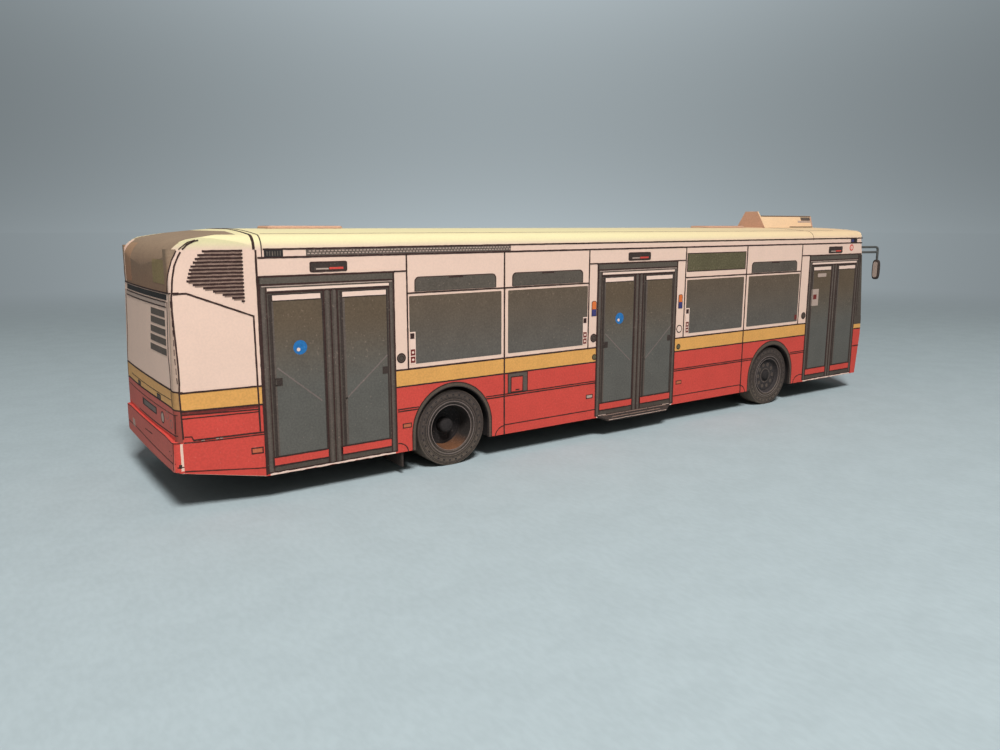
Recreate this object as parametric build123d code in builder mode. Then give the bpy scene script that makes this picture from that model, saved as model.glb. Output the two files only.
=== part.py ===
"""A printed card model of a three-door low-floor city bus, 1:100.

The body is a hollow shell of folded card with a separate roof and front and
rear ends. Two rolled axles turn in the inner walls of the wheel wells.
The part's frame: +X to the front, +Y to the left, +Z up, millimetres, with
the ground at Z = 0 and the middle of the whole length at X = 0.
"""
import os
from math import cos, hypot, radians, sin

from build123d import *

os.makedirs("parts", exist_ok=True)
far = 200.0                # beyond the model on any side

# --- card and clearances ---------------------------------------------------
card = 0.25                # thickness of the printed card
glue_gap = 0.02            # room left at glued seats on curved faces
running_gap = 0.05         # axle to the edge of its hole, on the radius
tyre_gap = 0.55            # tyre to the roof of its wheel well
fold_radius = 0.5          # outer radius of the folded front and rear corners

# --- lengths along the bus --------------------------------------------------
bumper_depth = 1.0
body_length = 118.3        # rear corner of the sides to the nose's corner
mirror_reach = 3.0         # the mirrors' front ahead of the nose
rear_end_length = 8.2
front_end_length = 3.1
rear_overhang = 31.55      # rear corner to the rear axle
wheelbase = 61.2
front_roof_length = 15.3
window_reach = 6.9         # how far the rear window runs over the roof

# --- the same places in the part's frame -----------------------------------
rear_x = (bumper_depth - body_length - mirror_reach) / 2
nose_x = rear_x + body_length
seam_x = rear_x + rear_end_length
front_seam_x = nose_x - front_end_length
rear_axle_x = rear_x + rear_overhang
front_axle_x = rear_axle_x + wheelbase
cap_x = nose_x - front_roof_length

# --- heights ----------------------------------------------------------------
skirt_z = 2.85             # lower edge of the sides and floor
nose_z = 10.0              # where the front reaches furthest
belt_z = 12.65             # fold line of the sides
waist_z = 17.0             # bend in the windscreen
sill_z = 22.6              # lower edge of the rear window
gutter_z = 26.75           # upper edge of the sides
header_drop = 2.75         # gutter down to the windscreen
shoulder_rise = 1.35       # gutter up to the end of the roof's flanks
crown_rise = 2.05          # gutter up to the middle of the roof
header_z = gutter_z - header_drop
shoulder_z = gutter_z + shoulder_rise
crown_z = gutter_z + crown_rise

# --- half widths --------------------------------------------------------------
belt_half = 12.5           # up to the fold line
side_lean = 0.55           # how far the upper sides lean in
flank_lean = 0.05
rear_taper = 1.0           # how much narrower the rear corners are
rear_bow = 0.3             # how far the rear face bows out in the middle
front_bow = 1.0            # the same for the front face
window_edge = 0.9          # rear corner to the rear window's edge
gutter_half = belt_half - side_lean
shoulder_half = gutter_half - flank_lean
window_half = belt_half - rear_taper - window_edge

# --- how far the ends stand behind the nose, or behind the rear corner ----------
apron_tuck = 0.8
belt_tuck = 0.1
waist_tuck = 0.3
header_tuck = 0.6
gutter_tuck = 1.0
rear_skirt_kick = 0.5
rear_belt_kick = 0.4
corner_reach = 0.9         # how far the rear panel folds round onto the cheeks

# --- rounded upper ends: vertical, an arc, then a gentle slope up to the crown ---
rear_round = 3.0           # radius from the rear face to the roof
rear_top_rise = 0.7        # gutter up to the corner that the arc rounds off
rear_top_z = gutter_z + rear_top_rise
rear_slope = 11.3          # how far forward the slope reaches
front_round = 1.5
front_top_rise = 2.0
front_top_z = gutter_z + front_top_rise
front_slope = 11.0
shoulder_round = 1.4       # between the roof's flanks and its top
above = 0.4                # the slopes end this much over the crown
roof_top_z = crown_z + above

# --- wheels -------------------------------------------------------------------
tyre_radius = 4.75
rim_radius = 2.95
axle_radius = 0.6
wheel_inset = 0.4          # tyre face in from the side's outer face
tread_chamfer = 0.3
rear_tyre_width = 6.0      # as wide as twin tyres
front_tyre_width = 2.75
rear_dish = 1.1            # how deep the rear rims lie in the tyre
front_dish = 0.5
hub_radius = 0.95
hub_rise = 0.4
arch_radius = 5.2
well_wall = 0.5            # inner wall of a well, two layers of card

# --- rear bumper, ramp, flaps ---------------------------------------------------
bumper_top_z = 7.9
bumper_bottom_z = 4.5
ramp_middle = 62.1         # rear corner to the middle of the ramp
ramp_length = 15.0
ramp_end_cut = 1.8
ramp_reach = 1.15
ramp_lift = 0.35           # its upper edge above the skirt
ramp_top_z = skirt_z + ramp_lift
ramp_tilt = 50             # degrees out from straight down
flap_front = 7.05          # rear axle back to the mud flaps
flap_bottom_z = 1.0

# --- roof equipment ---------------------------------------------------------------
hatch_length = 9.3
hatch_half = 2.2
hatch_rise = 0.3
hatch_corner = 0.6
rear_hatch_place = 17.95   # rear corner to the middle of the hatch
front_hatch_back = 25.5    # nose back to the middle of the front hatch
cooler_back = 16.7         # nose back to the cooler's rear face
cooler_length = 13.8
cooler_base_half = 3.15
cooler_top_half = 1.75
cooler_front_half = 2.5    # its top at the front
cooler_rise = 2.1
cooler_end_half = 1.3      # the top of its taller rear face
cooler_end_rise = 2.8
cooler_sink = 0.15         # its base edge below the crown

# --- mirrors -----------------------------------------------------------------------
arm_radius = 0.2
arm_bend = 0.5
arm_upper_drop = 1.35      # gutter down to the upper wire
arm_lower_drop = 2.25
arm_upper_z = gutter_z - arm_upper_drop
arm_lower_z = gutter_z - arm_lower_drop
arm_spread = 0.95          # from the gutter out to the mirrors' middle
head_depth = 0.8
head_width = 1.3
head_height = 3.5
head_corner = 0.35
head_drop = 5.35           # gutter down to the mirror's middle
head_z = gutter_z - head_drop


def between(z, points):
    """The value at height z on a line of (height, value) points."""
    for (low, a), (high, b) in zip(points, points[1:]):
        if z <= high:
            return a + (b - a) * max(z - low, 0) / (high - low)
    return points[-1][1]


side_line = [(skirt_z, belt_half), (belt_z, belt_half), (gutter_z, gutter_half)]
front_line = [
    (skirt_z, nose_x - apron_tuck),
    (nose_z, nose_x),
    (belt_z, nose_x - belt_tuck),
    (waist_z, nose_x - waist_tuck),
    (header_z, nose_x - header_tuck),
    (gutter_z, nose_x - gutter_tuck),
]
rear_line = [(skirt_z, rear_x - rear_skirt_kick), (belt_z, rear_x - rear_belt_kick), (sill_z, rear_x)]
wall_levels = [skirt_z, nose_z, belt_z, waist_z, sill_z, header_z, gutter_z]
roof_levels = [gutter_z, roof_top_z]


def outline(z, inset):
    """The body's plan at height z: tapered rear, straight sides, bowed ends."""
    half = between(z, side_line) - inset
    back = between(z, rear_line) + inset
    front = between(z, front_line) - inset
    back_half = half - rear_taper
    with BuildSketch(Plane.XY.offset(z)) as plan:
        with BuildLine():
            Polyline((back, -back_half), (seam_x, -half), (front, -half))
            ThreePointArc((front, -half), (front + front_bow, 0), (front, half))
            Polyline((front, half), (seam_x, half), (back, back_half))
            ThreePointArc((back, back_half), (back - rear_bow, 0), (back, -back_half))
        make_face()
        fillet(plan.vertices().group_by(Axis.X)[0], fold_radius - inset)
        fillet(plan.vertices().group_by(Axis.X)[-1], fold_radius - inset)
    return plan.sketch


def roof_section(inset):
    """The roof's cross-section, flanks and a low crown with rounded shoulders."""
    base = gutter_z - 2 * card
    with BuildSketch(Plane.YZ) as section:
        with BuildLine():
            flanks = Polyline(
                (-shoulder_half, shoulder_z),
                (-gutter_half, gutter_z),
                (-gutter_half, base),
                (gutter_half, base),
                (gutter_half, gutter_z),
                (shoulder_half, shoulder_z),
            )
            ThreePointArc(flanks @ 1, (0, crown_z), flanks @ 0)
        make_face()
        fillet(section.vertices().group_by(Axis.Y)[-1], shoulder_round)
        offset(amount=-inset)
    return section.sketch


def side_profile(inset):
    """The body's outline from the side above the rounded ends' lower limits."""
    back = rear_x - rear_bow
    front = nose_x - gutter_tuck + front_bow
    rear_corner = (back, rear_top_z)
    front_corner = (front, front_top_z)
    rear_start = rear_top_z - 1.5 * rear_round
    front_start = front_top_z - 1.5 * front_round
    beyond = rear_skirt_kick + front_bow + gutter_tuck
    with BuildSketch(Plane.XZ) as profile:
        with BuildLine():
            Polyline(
                (back - beyond, 0),
                (back - beyond, rear_start),
                (back, rear_start),
                rear_corner,
                (back + rear_slope, roof_top_z),
                (front - front_slope, roof_top_z),
                front_corner,
                (front, front_start),
                (front + beyond, front_start),
                (front + beyond, 0),
                close=True,
            )
        make_face()
        fillet(profile.vertices().sort_by_distance(rear_corner)[0], rear_round)
        fillet(profile.vertices().sort_by_distance(front_corner)[0], front_round)
        offset(amount=-inset)
    return profile.sketch


def body_block(levels, inset):
    """A solid lofted through the plans at these heights, with the ends rounded."""
    with BuildPart() as solid:
        loft([outline(z, inset) for z in levels], ruled=True)
        extrude(side_profile(inset), amount=belt_half, both=True, mode=Mode.INTERSECT)
    return solid.part


def roof_block(inset):
    """The solid between the gutter and the roof's outer or inner surface."""
    with BuildPart() as solid:
        add(body_block(roof_levels, inset))
        extrude(roof_section(inset), amount=far / 2, both=True, mode=Mode.INTERSECT)
    return solid.part


def keep(x, y, z):
    """Cut the part under way down to the box between these (low, high) pairs."""
    middle = tuple((low + high) / 2 for low, high in (x, y, z))
    with Locations(middle):
        Box(x[1] - x[0], y[1] - y[0], z[1] - z[0], mode=Mode.INTERSECT)


def clear(x, y, z):
    """Cut the box between these (low, high) pairs out of the part under way."""
    middle = tuple((low + high) / 2 for low, high in (x, y, z))
    with Locations(middle):
        Box(x[1] - x[0], y[1] - y[0], z[1] - z[0], mode=Mode.SUBTRACT)


def arch(x, radius, bottom):
    """A wheel arch on the side's plane: a half circle and straight legs."""
    with BuildSketch(Plane.XZ) as shape:
        with Locations((x, tyre_radius)):
            Circle(radius)
        with Locations((x, tyre_radius)):
            Rectangle(2 * radius, 2 * tyre_radius, align=(Align.CENTER, Align.MAX))
        with Locations((x, bottom)):
            Rectangle(3 * radius, 3 * radius, align=(Align.CENTER, Align.MAX), mode=Mode.SUBTRACT)
    return shape.sketch


def finish(piece, name):
    """Label a finished piece and write its file."""
    piece.label = name
    export_step(piece, f"parts/{name}.step")


def finish_pair(piece, name):
    """Write a right-hand piece and its mirror image on the left."""
    finish(piece, f"right_{name}")
    finish(mirror(piece, about=Plane.XZ), f"left_{name}")


# --- the shell of the body, which the next pieces are cut from -----------------
body_outer = body_block(wall_levels, 0)
with BuildPart() as walls:
    add(body_outer)
    add(body_block(wall_levels, card), mode=Mode.SUBTRACT)

roof_outer = roof_block(0)
with BuildPart() as roof_shell:
    add(roof_outer)
    add(roof_block(card), mode=Mode.SUBTRACT)

window_tip_x = rear_x + window_reach
corner_x = rear_x + corner_reach

# --- sides ----------------------------------------------------------------------
with BuildPart() as side:
    add(walls)
    keep((seam_x, front_seam_x), (-far, 0), (skirt_z, gutter_z))
    for x in (rear_axle_x, front_axle_x):
        extrude(arch(x, arch_radius, 0), amount=far, mode=Mode.SUBTRACT)
finish_pair(side.part, "side")

# --- rear end: cheeks, panel, window and the roof piece over them -----------------
tail_x = rear_x - bumper_depth
with BuildPart() as departure:
    with BuildSketch(Plane.XZ):
        with BuildLine():
            Polyline((seam_x, skirt_z), (tail_x, bumper_bottom_z), (tail_x, 0), (seam_x, 0), close=True)
        make_face()
    extrude(amount=far / 2, both=True)

with BuildPart() as rear_cheek:
    add(walls)
    keep((corner_x, seam_x), (-far, 0), (skirt_z, gutter_z))
    clear((corner_x, window_tip_x), (-window_half, 0), (sill_z, gutter_z))
    add(departure, mode=Mode.SUBTRACT)
finish_pair(rear_cheek.part, "rear_cheek")

with BuildPart() as rear_panel:
    add(walls)
    keep((-far, corner_x), (-far, far), (skirt_z, gutter_z))
    clear((-far, corner_x), (-window_half, window_half), (sill_z, gutter_z))
    add(departure, mode=Mode.SUBTRACT)
finish(rear_panel.part, "rear_panel")

with BuildPart() as rear_window:
    add(walls)
    add(roof_shell)
    keep((-far, window_tip_x), (-window_half, window_half), (sill_z, far))
finish(rear_window.part, "rear_window")

with BuildPart() as rear_roof:
    add(roof_shell)
    keep((-far, seam_x), (-far, far), (gutter_z, far))
    clear((-far, window_tip_x), (-window_half, window_half), (gutter_z, far))
finish(rear_roof.part, "rear_roof")

# --- roof -------------------------------------------------------------------------
with BuildPart() as roof:
    add(roof_shell)
    keep((seam_x, cap_x), (-far, far), (gutter_z, far))
finish(roof.part, "roof")

with BuildPart() as front_roof:
    add(roof_shell)
    keep((cap_x, far), (-far, far), (gutter_z, far))
finish(front_roof.part, "front_roof")

# --- front end ----------------------------------------------------------------------
front_bands = {
    "front_panel": (skirt_z, belt_z),
    "windscreen": (belt_z, header_z),
    "destination_box": (header_z, gutter_z),
}
for name, band in front_bands.items():
    with BuildPart() as front_band:
        add(walls)
        keep((front_seam_x, far), (-far, far), band)
    finish(front_band.part, name)

# --- rear bumper ----------------------------------------------------------------------
corner_half = belt_half - rear_taper * (seam_x - corner_x) / rear_end_length
tail_half = belt_half - rear_taper * (seam_x - tail_x) / rear_end_length
with BuildPart() as rear_bumper:
    with BuildSketch(Plane.XY.offset(bumper_bottom_z)):
        with BuildLine():
            Polyline(
                (corner_x, corner_half),
                (tail_x, tail_half),
                (tail_x, -tail_half),
                (corner_x, -corner_half),
                close=True,
            )
        make_face()
    extrude(amount=bumper_top_z - bumper_bottom_z)
    fillet(rear_bumper.edges().filter_by(Axis.Z).group_by(Axis.X)[0], fold_radius)
    add(body_outer, mode=Mode.SUBTRACT)
finish(rear_bumper.part, "rear_bumper")

# --- floor ------------------------------------------------------------------------------
well_radius = tyre_radius + tyre_gap
wells = {
    "rear": (rear_axle_x, belt_half - wheel_inset - rear_tyre_width - tyre_gap),
    "front": (front_axle_x, belt_half - wheel_inset - front_tyre_width - tyre_gap),
}
floor_spans = {
    "rear_floor": (seam_x, rear_axle_x),
    "middle_floor": (rear_axle_x, front_axle_x),
    "front_floor": (front_axle_x, far),
}
with BuildPart() as inside:
    add(body_block(wall_levels, card + glue_gap))
for name, span in floor_spans.items():
    with BuildPart() as floor:
        add(inside)
        keep(span, (-far, far), (skirt_z, skirt_z + card))
        for x, inner_half in wells.values():
            reach = well_radius + card + glue_gap
            for y in ((-far, -inner_half + well_wall + glue_gap), (inner_half - well_wall - glue_gap, far)):
                clear((x - reach, x + reach), y, (0, far))
    finish(floor.part, name)

with BuildPart() as tail_floor:
    with BuildSketch(Plane.XZ):
        with BuildLine():
            Polyline(
                (seam_x, skirt_z),
                (tail_x, bumper_bottom_z),
                (tail_x, bumper_bottom_z + card),
                (seam_x, skirt_z + card),
                close=True,
            )
        make_face()
    extrude(amount=far / 2, both=True)
    add(inside, mode=Mode.INTERSECT)
finish(tail_floor.part, "tail_floor")

# --- wheel wells, whose inner walls carry the axles ----------------------------------------
for name, (x, inner_half) in wells.items():
    with BuildPart() as well:
        wall_plane = belt_half - card - glue_gap
        extrude(arch(x, well_radius + card, skirt_z), amount=wall_plane)
        extrude(arch(x, well_radius, 0), amount=wall_plane, mode=Mode.SUBTRACT)
        clear((-far, far), (-inner_half, far), (-far, far))
        with BuildSketch(Plane.XZ.offset(inner_half - well_wall)):
            add(arch(x, well_radius + card, skirt_z))
            with Locations((x, tyre_radius)):
                Circle(axle_radius + running_gap, mode=Mode.SUBTRACT)
        extrude(amount=well_wall)
    finish_pair(well.part, f"{name}_wheel_well")

# --- wheels and axles ------------------------------------------------------------------------
wheels = {
    "rear": (rear_axle_x, rear_tyre_width, rear_dish),
    "front": (front_axle_x, front_tyre_width, front_dish),
}
tyre_face = belt_half - wheel_inset
for name, (x, width, dish) in wheels.items():
    with BuildPart() as tyre:
        with BuildSketch(Plane.XZ.offset(tyre_face - width)):
            with Locations((x, tyre_radius)):
                Circle(tyre_radius)
                Circle(rim_radius, mode=Mode.SUBTRACT)
        extrude(amount=width)
        chamfer(tyre.edges().filter_by(GeomType.CIRCLE).group_by(SortBy.RADIUS)[-1], tread_chamfer)
    finish_pair(tyre.part, f"{name}_tyre")

    with BuildPart() as rim:
        barrel = rim_radius - glue_gap
        with BuildSketch(Plane.XZ.offset(tyre_face - width + card)):
            with Locations((x, tyre_radius)):
                Circle(barrel)
                Circle(barrel - card, mode=Mode.SUBTRACT)
        extrude(amount=width - card)
        with BuildSketch(Plane.XZ.offset(tyre_face - dish - 2 * card)):
            with Locations((x, tyre_radius)):
                Circle(barrel)
                Circle(axle_radius + glue_gap, mode=Mode.SUBTRACT)
        extrude(amount=2 * card)
        with BuildSketch(Plane.XZ.offset(tyre_face - dish)):
            with Locations((x, tyre_radius)):
                Circle(hub_radius)
        extrude(amount=hub_rise)
        hub_edges = rim.edges().filter_by(GeomType.CIRCLE).filter_by(lambda edge: edge.radius == hub_radius)
        chamfer(hub_edges.sort_by(Axis.Y)[0], hub_rise / 2)
    finish_pair(rim.part, f"{name}_rim")

    with BuildPart() as axle:
        with BuildSketch(Plane.XZ):
            with Locations((x, tyre_radius)):
                Circle(axle_radius)
        extrude(amount=tyre_face - dish, both=True)
    finish(axle.part, f"{name}_axle")

# --- boarding ramp under the middle door, and mud flaps ------------------------------------------
lean = radians(ramp_tilt)
ramp_top = (rear_x + ramp_middle, -belt_half, ramp_top_z)
ramp_plane = Plane(ramp_top, x_dir=(1, 0, 0), z_dir=(0, -cos(lean), sin(lean)))
with BuildPart() as ramp:
    with BuildSketch(ramp_plane):
        with BuildLine():
            low = ramp_length / 2 - ramp_end_cut
            high = ramp_length / 2
            Polyline(
                (-high, card),
                (-high, 0),
                (-low, -ramp_reach),
                (low, -ramp_reach),
                (high, 0),
                (high, card),
                close=True,
            )
        make_face()
    extrude(amount=-card)
    clear((-far, far), (-belt_half, far), (-far, far))
finish(ramp.part, "middle_door_ramp")

with BuildPart() as mud_flap:
    flap_outer = belt_half - card - glue_gap
    flap_inner = tyre_face - rear_tyre_width
    flap_x = rear_axle_x - flap_front
    with Locations((flap_x + card / 2, -(flap_outer + flap_inner) / 2, (skirt_z + flap_bottom_z) / 2)):
        Box(card, flap_outer - flap_inner, skirt_z - flap_bottom_z)
finish_pair(mud_flap.part, "mud_flap")

# --- roof equipment -----------------------------------------------------------------------------
seat = roof_outer.moved(Location((0, 0, glue_gap)))
for name, middle_x in (("rear", rear_x + rear_hatch_place), ("front", nose_x - front_hatch_back)):
    with BuildPart() as hatch:
        with BuildSketch(Plane.XY.offset(shoulder_z)):
            with Locations((middle_x, 0)):
                Rectangle(hatch_length, 2 * hatch_half)
        extrude(amount=crown_z + hatch_rise - shoulder_z)
        fillet(hatch.edges().filter_by(Axis.Z), hatch_corner)
        chamfer(hatch.faces().sort_by(Axis.Z)[-1].edges(), hatch_rise / 2)
        add(seat, mode=Mode.SUBTRACT)
    finish(hatch.part, f"{name}_roof_hatch")

cooler_edge_z = crown_z - cooler_sink
cooler_sections = {
    0: (cooler_end_half, cooler_end_rise),
    card: (cooler_top_half, cooler_rise),
    cooler_length: (cooler_front_half, cooler_rise),
}


def cooler_section(reach):
    """The cooler's cross-section this far ahead of its rear face."""
    top_half, rise = cooler_sections[reach]
    with BuildSketch(Plane.YZ.offset(nose_x - cooler_back + reach)) as section:
        with BuildLine():
            Polyline(
                (-cooler_base_half, shoulder_z),
                (-cooler_base_half, cooler_edge_z),
                (-top_half, crown_z + rise),
                (top_half, crown_z + rise),
                (cooler_base_half, cooler_edge_z),
                (cooler_base_half, shoulder_z),
                close=True,
            )
        make_face()
    return section.sketch


with BuildPart() as cooler:
    extrude(cooler_section(0), amount=card)
    loft([cooler_section(card), cooler_section(cooler_length)], ruled=True)
    add(seat, mode=Mode.SUBTRACT)
finish(cooler.part, "roof_cooler")

# --- mirrors on their arms ---------------------------------------------------------------------------
tip_x = nose_x + mirror_reach - head_depth / 2
tip_half = gutter_half + arm_spread
root_x = nose_x - gutter_tuck - card
root_half = gutter_half - card
head_top = head_z + head_height / 2
with BuildPart() as arm:
    with BuildLine():
        path = FilletPolyline(
            (root_x, -root_half, arm_upper_z),
            (tip_x, -tip_half, arm_upper_z),
            (tip_x, -tip_half, head_top),
            radius=arm_bend,
        )
    with BuildSketch(Plane(path @ 0, z_dir=path % 0)):
        Circle(arm_radius)
    sweep()
    with BuildSketch(Plane((root_x, -root_half, arm_lower_z), z_dir=path % 0)):
        Circle(arm_radius)
    extrude(amount=hypot(tip_x - root_x, tip_half - root_half))
    add(body_outer, mode=Mode.SUBTRACT)
finish_pair(arm.part, "mirror_arm")

with BuildPart() as mirror_head:
    with Locations((tip_x, -tip_half, head_z)):
        Box(head_depth, head_width, head_height)
    fillet(mirror_head.edges().filter_by(Axis.X), head_corner)
finish_pair(mirror_head.part, "mirror")
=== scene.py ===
import math

import bmesh
import bpy
import numpy as np
from mathutils import Matrix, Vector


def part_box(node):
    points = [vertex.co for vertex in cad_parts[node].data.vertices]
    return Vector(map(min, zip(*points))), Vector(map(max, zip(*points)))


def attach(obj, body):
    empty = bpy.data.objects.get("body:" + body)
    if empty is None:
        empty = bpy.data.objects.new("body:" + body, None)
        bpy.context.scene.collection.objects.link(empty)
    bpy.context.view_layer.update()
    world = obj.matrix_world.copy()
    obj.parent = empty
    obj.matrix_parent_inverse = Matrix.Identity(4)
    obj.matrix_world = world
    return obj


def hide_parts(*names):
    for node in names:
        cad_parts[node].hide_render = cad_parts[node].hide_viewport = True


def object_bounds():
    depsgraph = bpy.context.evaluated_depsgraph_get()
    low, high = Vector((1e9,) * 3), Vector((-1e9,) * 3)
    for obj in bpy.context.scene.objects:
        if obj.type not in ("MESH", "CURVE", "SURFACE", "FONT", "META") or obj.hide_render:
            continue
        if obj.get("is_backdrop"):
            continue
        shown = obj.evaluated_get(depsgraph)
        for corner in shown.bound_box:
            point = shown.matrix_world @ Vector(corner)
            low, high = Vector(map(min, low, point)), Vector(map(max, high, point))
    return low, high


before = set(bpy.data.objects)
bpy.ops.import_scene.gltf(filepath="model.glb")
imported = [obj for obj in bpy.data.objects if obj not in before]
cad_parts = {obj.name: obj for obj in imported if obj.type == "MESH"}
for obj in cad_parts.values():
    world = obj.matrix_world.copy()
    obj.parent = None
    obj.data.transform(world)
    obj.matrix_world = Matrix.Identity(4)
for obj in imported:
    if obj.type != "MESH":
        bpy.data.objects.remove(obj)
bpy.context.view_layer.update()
print("frame loaded with", len(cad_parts), "nodes")

mm = 0.001
scene = bpy.context.scene
random = np.random.default_rng(100)
hands = ((-1, "right"), (1, "left"))  # the bus's two sides, the way each lies across


def placed(name, data):  # a new object in the scene
    made = bpy.data.objects.new(name, data)
    scene.collection.objects.link(made)
    return made


def corners(node):  # a node's box in millimetres
    low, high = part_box(node)
    return np.array(low) / mm, np.array(high) / mm


def ink(red, green, blue):  # a colour written as 0 to 255, made linear
    share = np.array([red, green, blue]) / 255
    linear = np.where(share <= 0.04045, share / 12.92, ((share + 0.055) / 1.055) ** 2.4)
    return (*linear, 1.0)


class Signal:  # one socket of a shader, with arithmetic on it
    def __init__(self, shading, socket):
        self.shading = shading
        self.socket = socket

    def maths(self, operation, *values, clamp=False):
        settings = {"operation": operation, "use_clamp": clamp}
        return self.shading.node("ShaderNodeMath", settings, dict(enumerate(values)))

    def __add__(self, other):
        return self.maths("ADD", self, other)

    def __sub__(self, other):
        return self.maths("SUBTRACT", self, other)

    def __rsub__(self, other):
        return self.maths("SUBTRACT", other, self)

    def __mul__(self, other):
        return self.maths("MULTIPLY", self, other)

    def step(self, low, high):  # 0 below low, 1 above high, smooth between
        settings = {"interpolation_type": "SMOOTHSTEP"}
        return self.shading.node("ShaderNodeMapRange", settings, {0: self, 1: low, 2: high})

    __radd__ = __add__
    __rmul__ = __mul__


class Shading:  # the nodes of one material or of the world
    def __init__(self, tree):
        self.tree = tree

    def give(self, socket, value):
        if isinstance(value, Signal):
            self.tree.links.new(value.socket, socket)
        else:
            socket.default_value = value

    def node(self, kind, settings, values, output=0):
        made = self.tree.nodes.new(kind)
        for name, value in settings.items():
            setattr(made, name, value)
        for name, value in values.items():
            self.give(made.inputs[name], value)
        return Signal(self, made.outputs[output])

    def vector(self, operation, *values, output="Vector"):
        return self.node("ShaderNodeVectorMath", {"operation": operation}, dict(enumerate(values)), output)

    def mix(self, share, first, second, blend="MIX"):
        settings = {"data_type": "RGBA", "blend_type": blend}
        return self.node("ShaderNodeMix", settings, {0: share, 6: first, 7: second}, 2)

    def tinted(self, colour, tone):  # a colour times a number
        grey = self.node("ShaderNodeCombineColor", {}, {0: tone, 1: tone, 2: tone})
        return self.mix(1.0, colour, grey, "MULTIPLY")


class Finish(Shading):  # one material on a Principled shader
    def __init__(self, name, roughness=0.8, specular=0.25, metallic=0.0):
        self.material = bpy.data.materials.new(name)
        self.material.use_nodes = True
        super().__init__(self.material.node_tree)
        self.shader = self.tree.nodes["Principled BSDF"]
        self.shader.inputs["Roughness"].default_value = roughness
        self.shader.inputs["Specular IOR Level"].default_value = specular
        self.shader.inputs["Metallic"].default_value = metallic

    def place(self):  # the piece's own coordinates, in metres
        return self.node("ShaderNodeTexCoord", {}, {}, "Object")

    def noise(self, size, detail=2.0, stretch=None):  # size is that of one blotch, in millimetres
        where = self.place()
        if stretch:
            where = self.node("ShaderNodeMapping", {}, {"Vector": where, "Scale": stretch})
        values = {"Vector": where, "Scale": 1 / (size * mm), "Detail": detail}
        return self.node("ShaderNodeTexNoise", {}, values, "Fac")

    def along(self, axis, span):  # 0 before a span of millimetres along an axis, 1 beyond it
        place = self.node("ShaderNodeSeparateXYZ", {}, {0: self.place()}, axis)
        return place.step(span[0] * mm, span[1] * mm)

    def bump(self, height, strength, distance):
        values = {"Height": height, "Strength": strength, "Distance": distance * mm}
        self.wear("Normal", self.node("ShaderNodeBump", {}, values, "Normal"))

    def wear(self, socket, value):
        self.give(self.shader.inputs[socket], value)


paper = {
    "white": (240, 205, 185),
    "roughness": 0.82,
    "fibre": 0.35,      # size of the fibres, mm
    "grain": 0.22,      # size of the print's grain, mm
    "cloud": 2.6,       # size of the uneven patches, mm
    "relief": 0.012,    # height of the paper's tooth, mm
}


# printed card: the ink's grain and clouds, bare specks of paper, and the paper's tooth
# the ink may take another tone over a span of heights, and that tone another one ahead, along the bus
def printed(name, colour, grain, specks, upper=None, span=None, ahead=None, reach=None):
    made = Finish(name, roughness=paper["roughness"])
    colour = ink(*colour)
    if upper:
        upper = ink(*upper)
        if ahead:
            upper = made.mix(made.along(0, reach), upper, ink(*ahead))
        colour = made.mix(made.along(2, span), colour, upper)
    dots = made.noise(paper["grain"], 1.5)
    clouds = made.noise(paper["cloud"], 2.0)
    tone = (dots.step(0.3, 0.7) - 0.5) * (2 * grain) + (clouds.step(0.3, 0.7) - 0.5) * grain + 1
    bare = made.noise(paper["grain"] * 1.15, 0.5, (1.0, 1.13, 0.92)).step(0.70, 0.78) * specks
    made.wear("Base Color", made.mix(bare, made.tinted(colour, tone), ink(*paper["white"])))
    made.wear("Roughness", clouds * 0.08 + (paper["roughness"] - 0.04))
    fibres = made.noise(paper["fibre"], 3.0, (1.0, 1.7, 0.6))
    made.bump(fibres + dots * 0.4, 0.35, paper["relief"])
    return made.material


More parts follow.
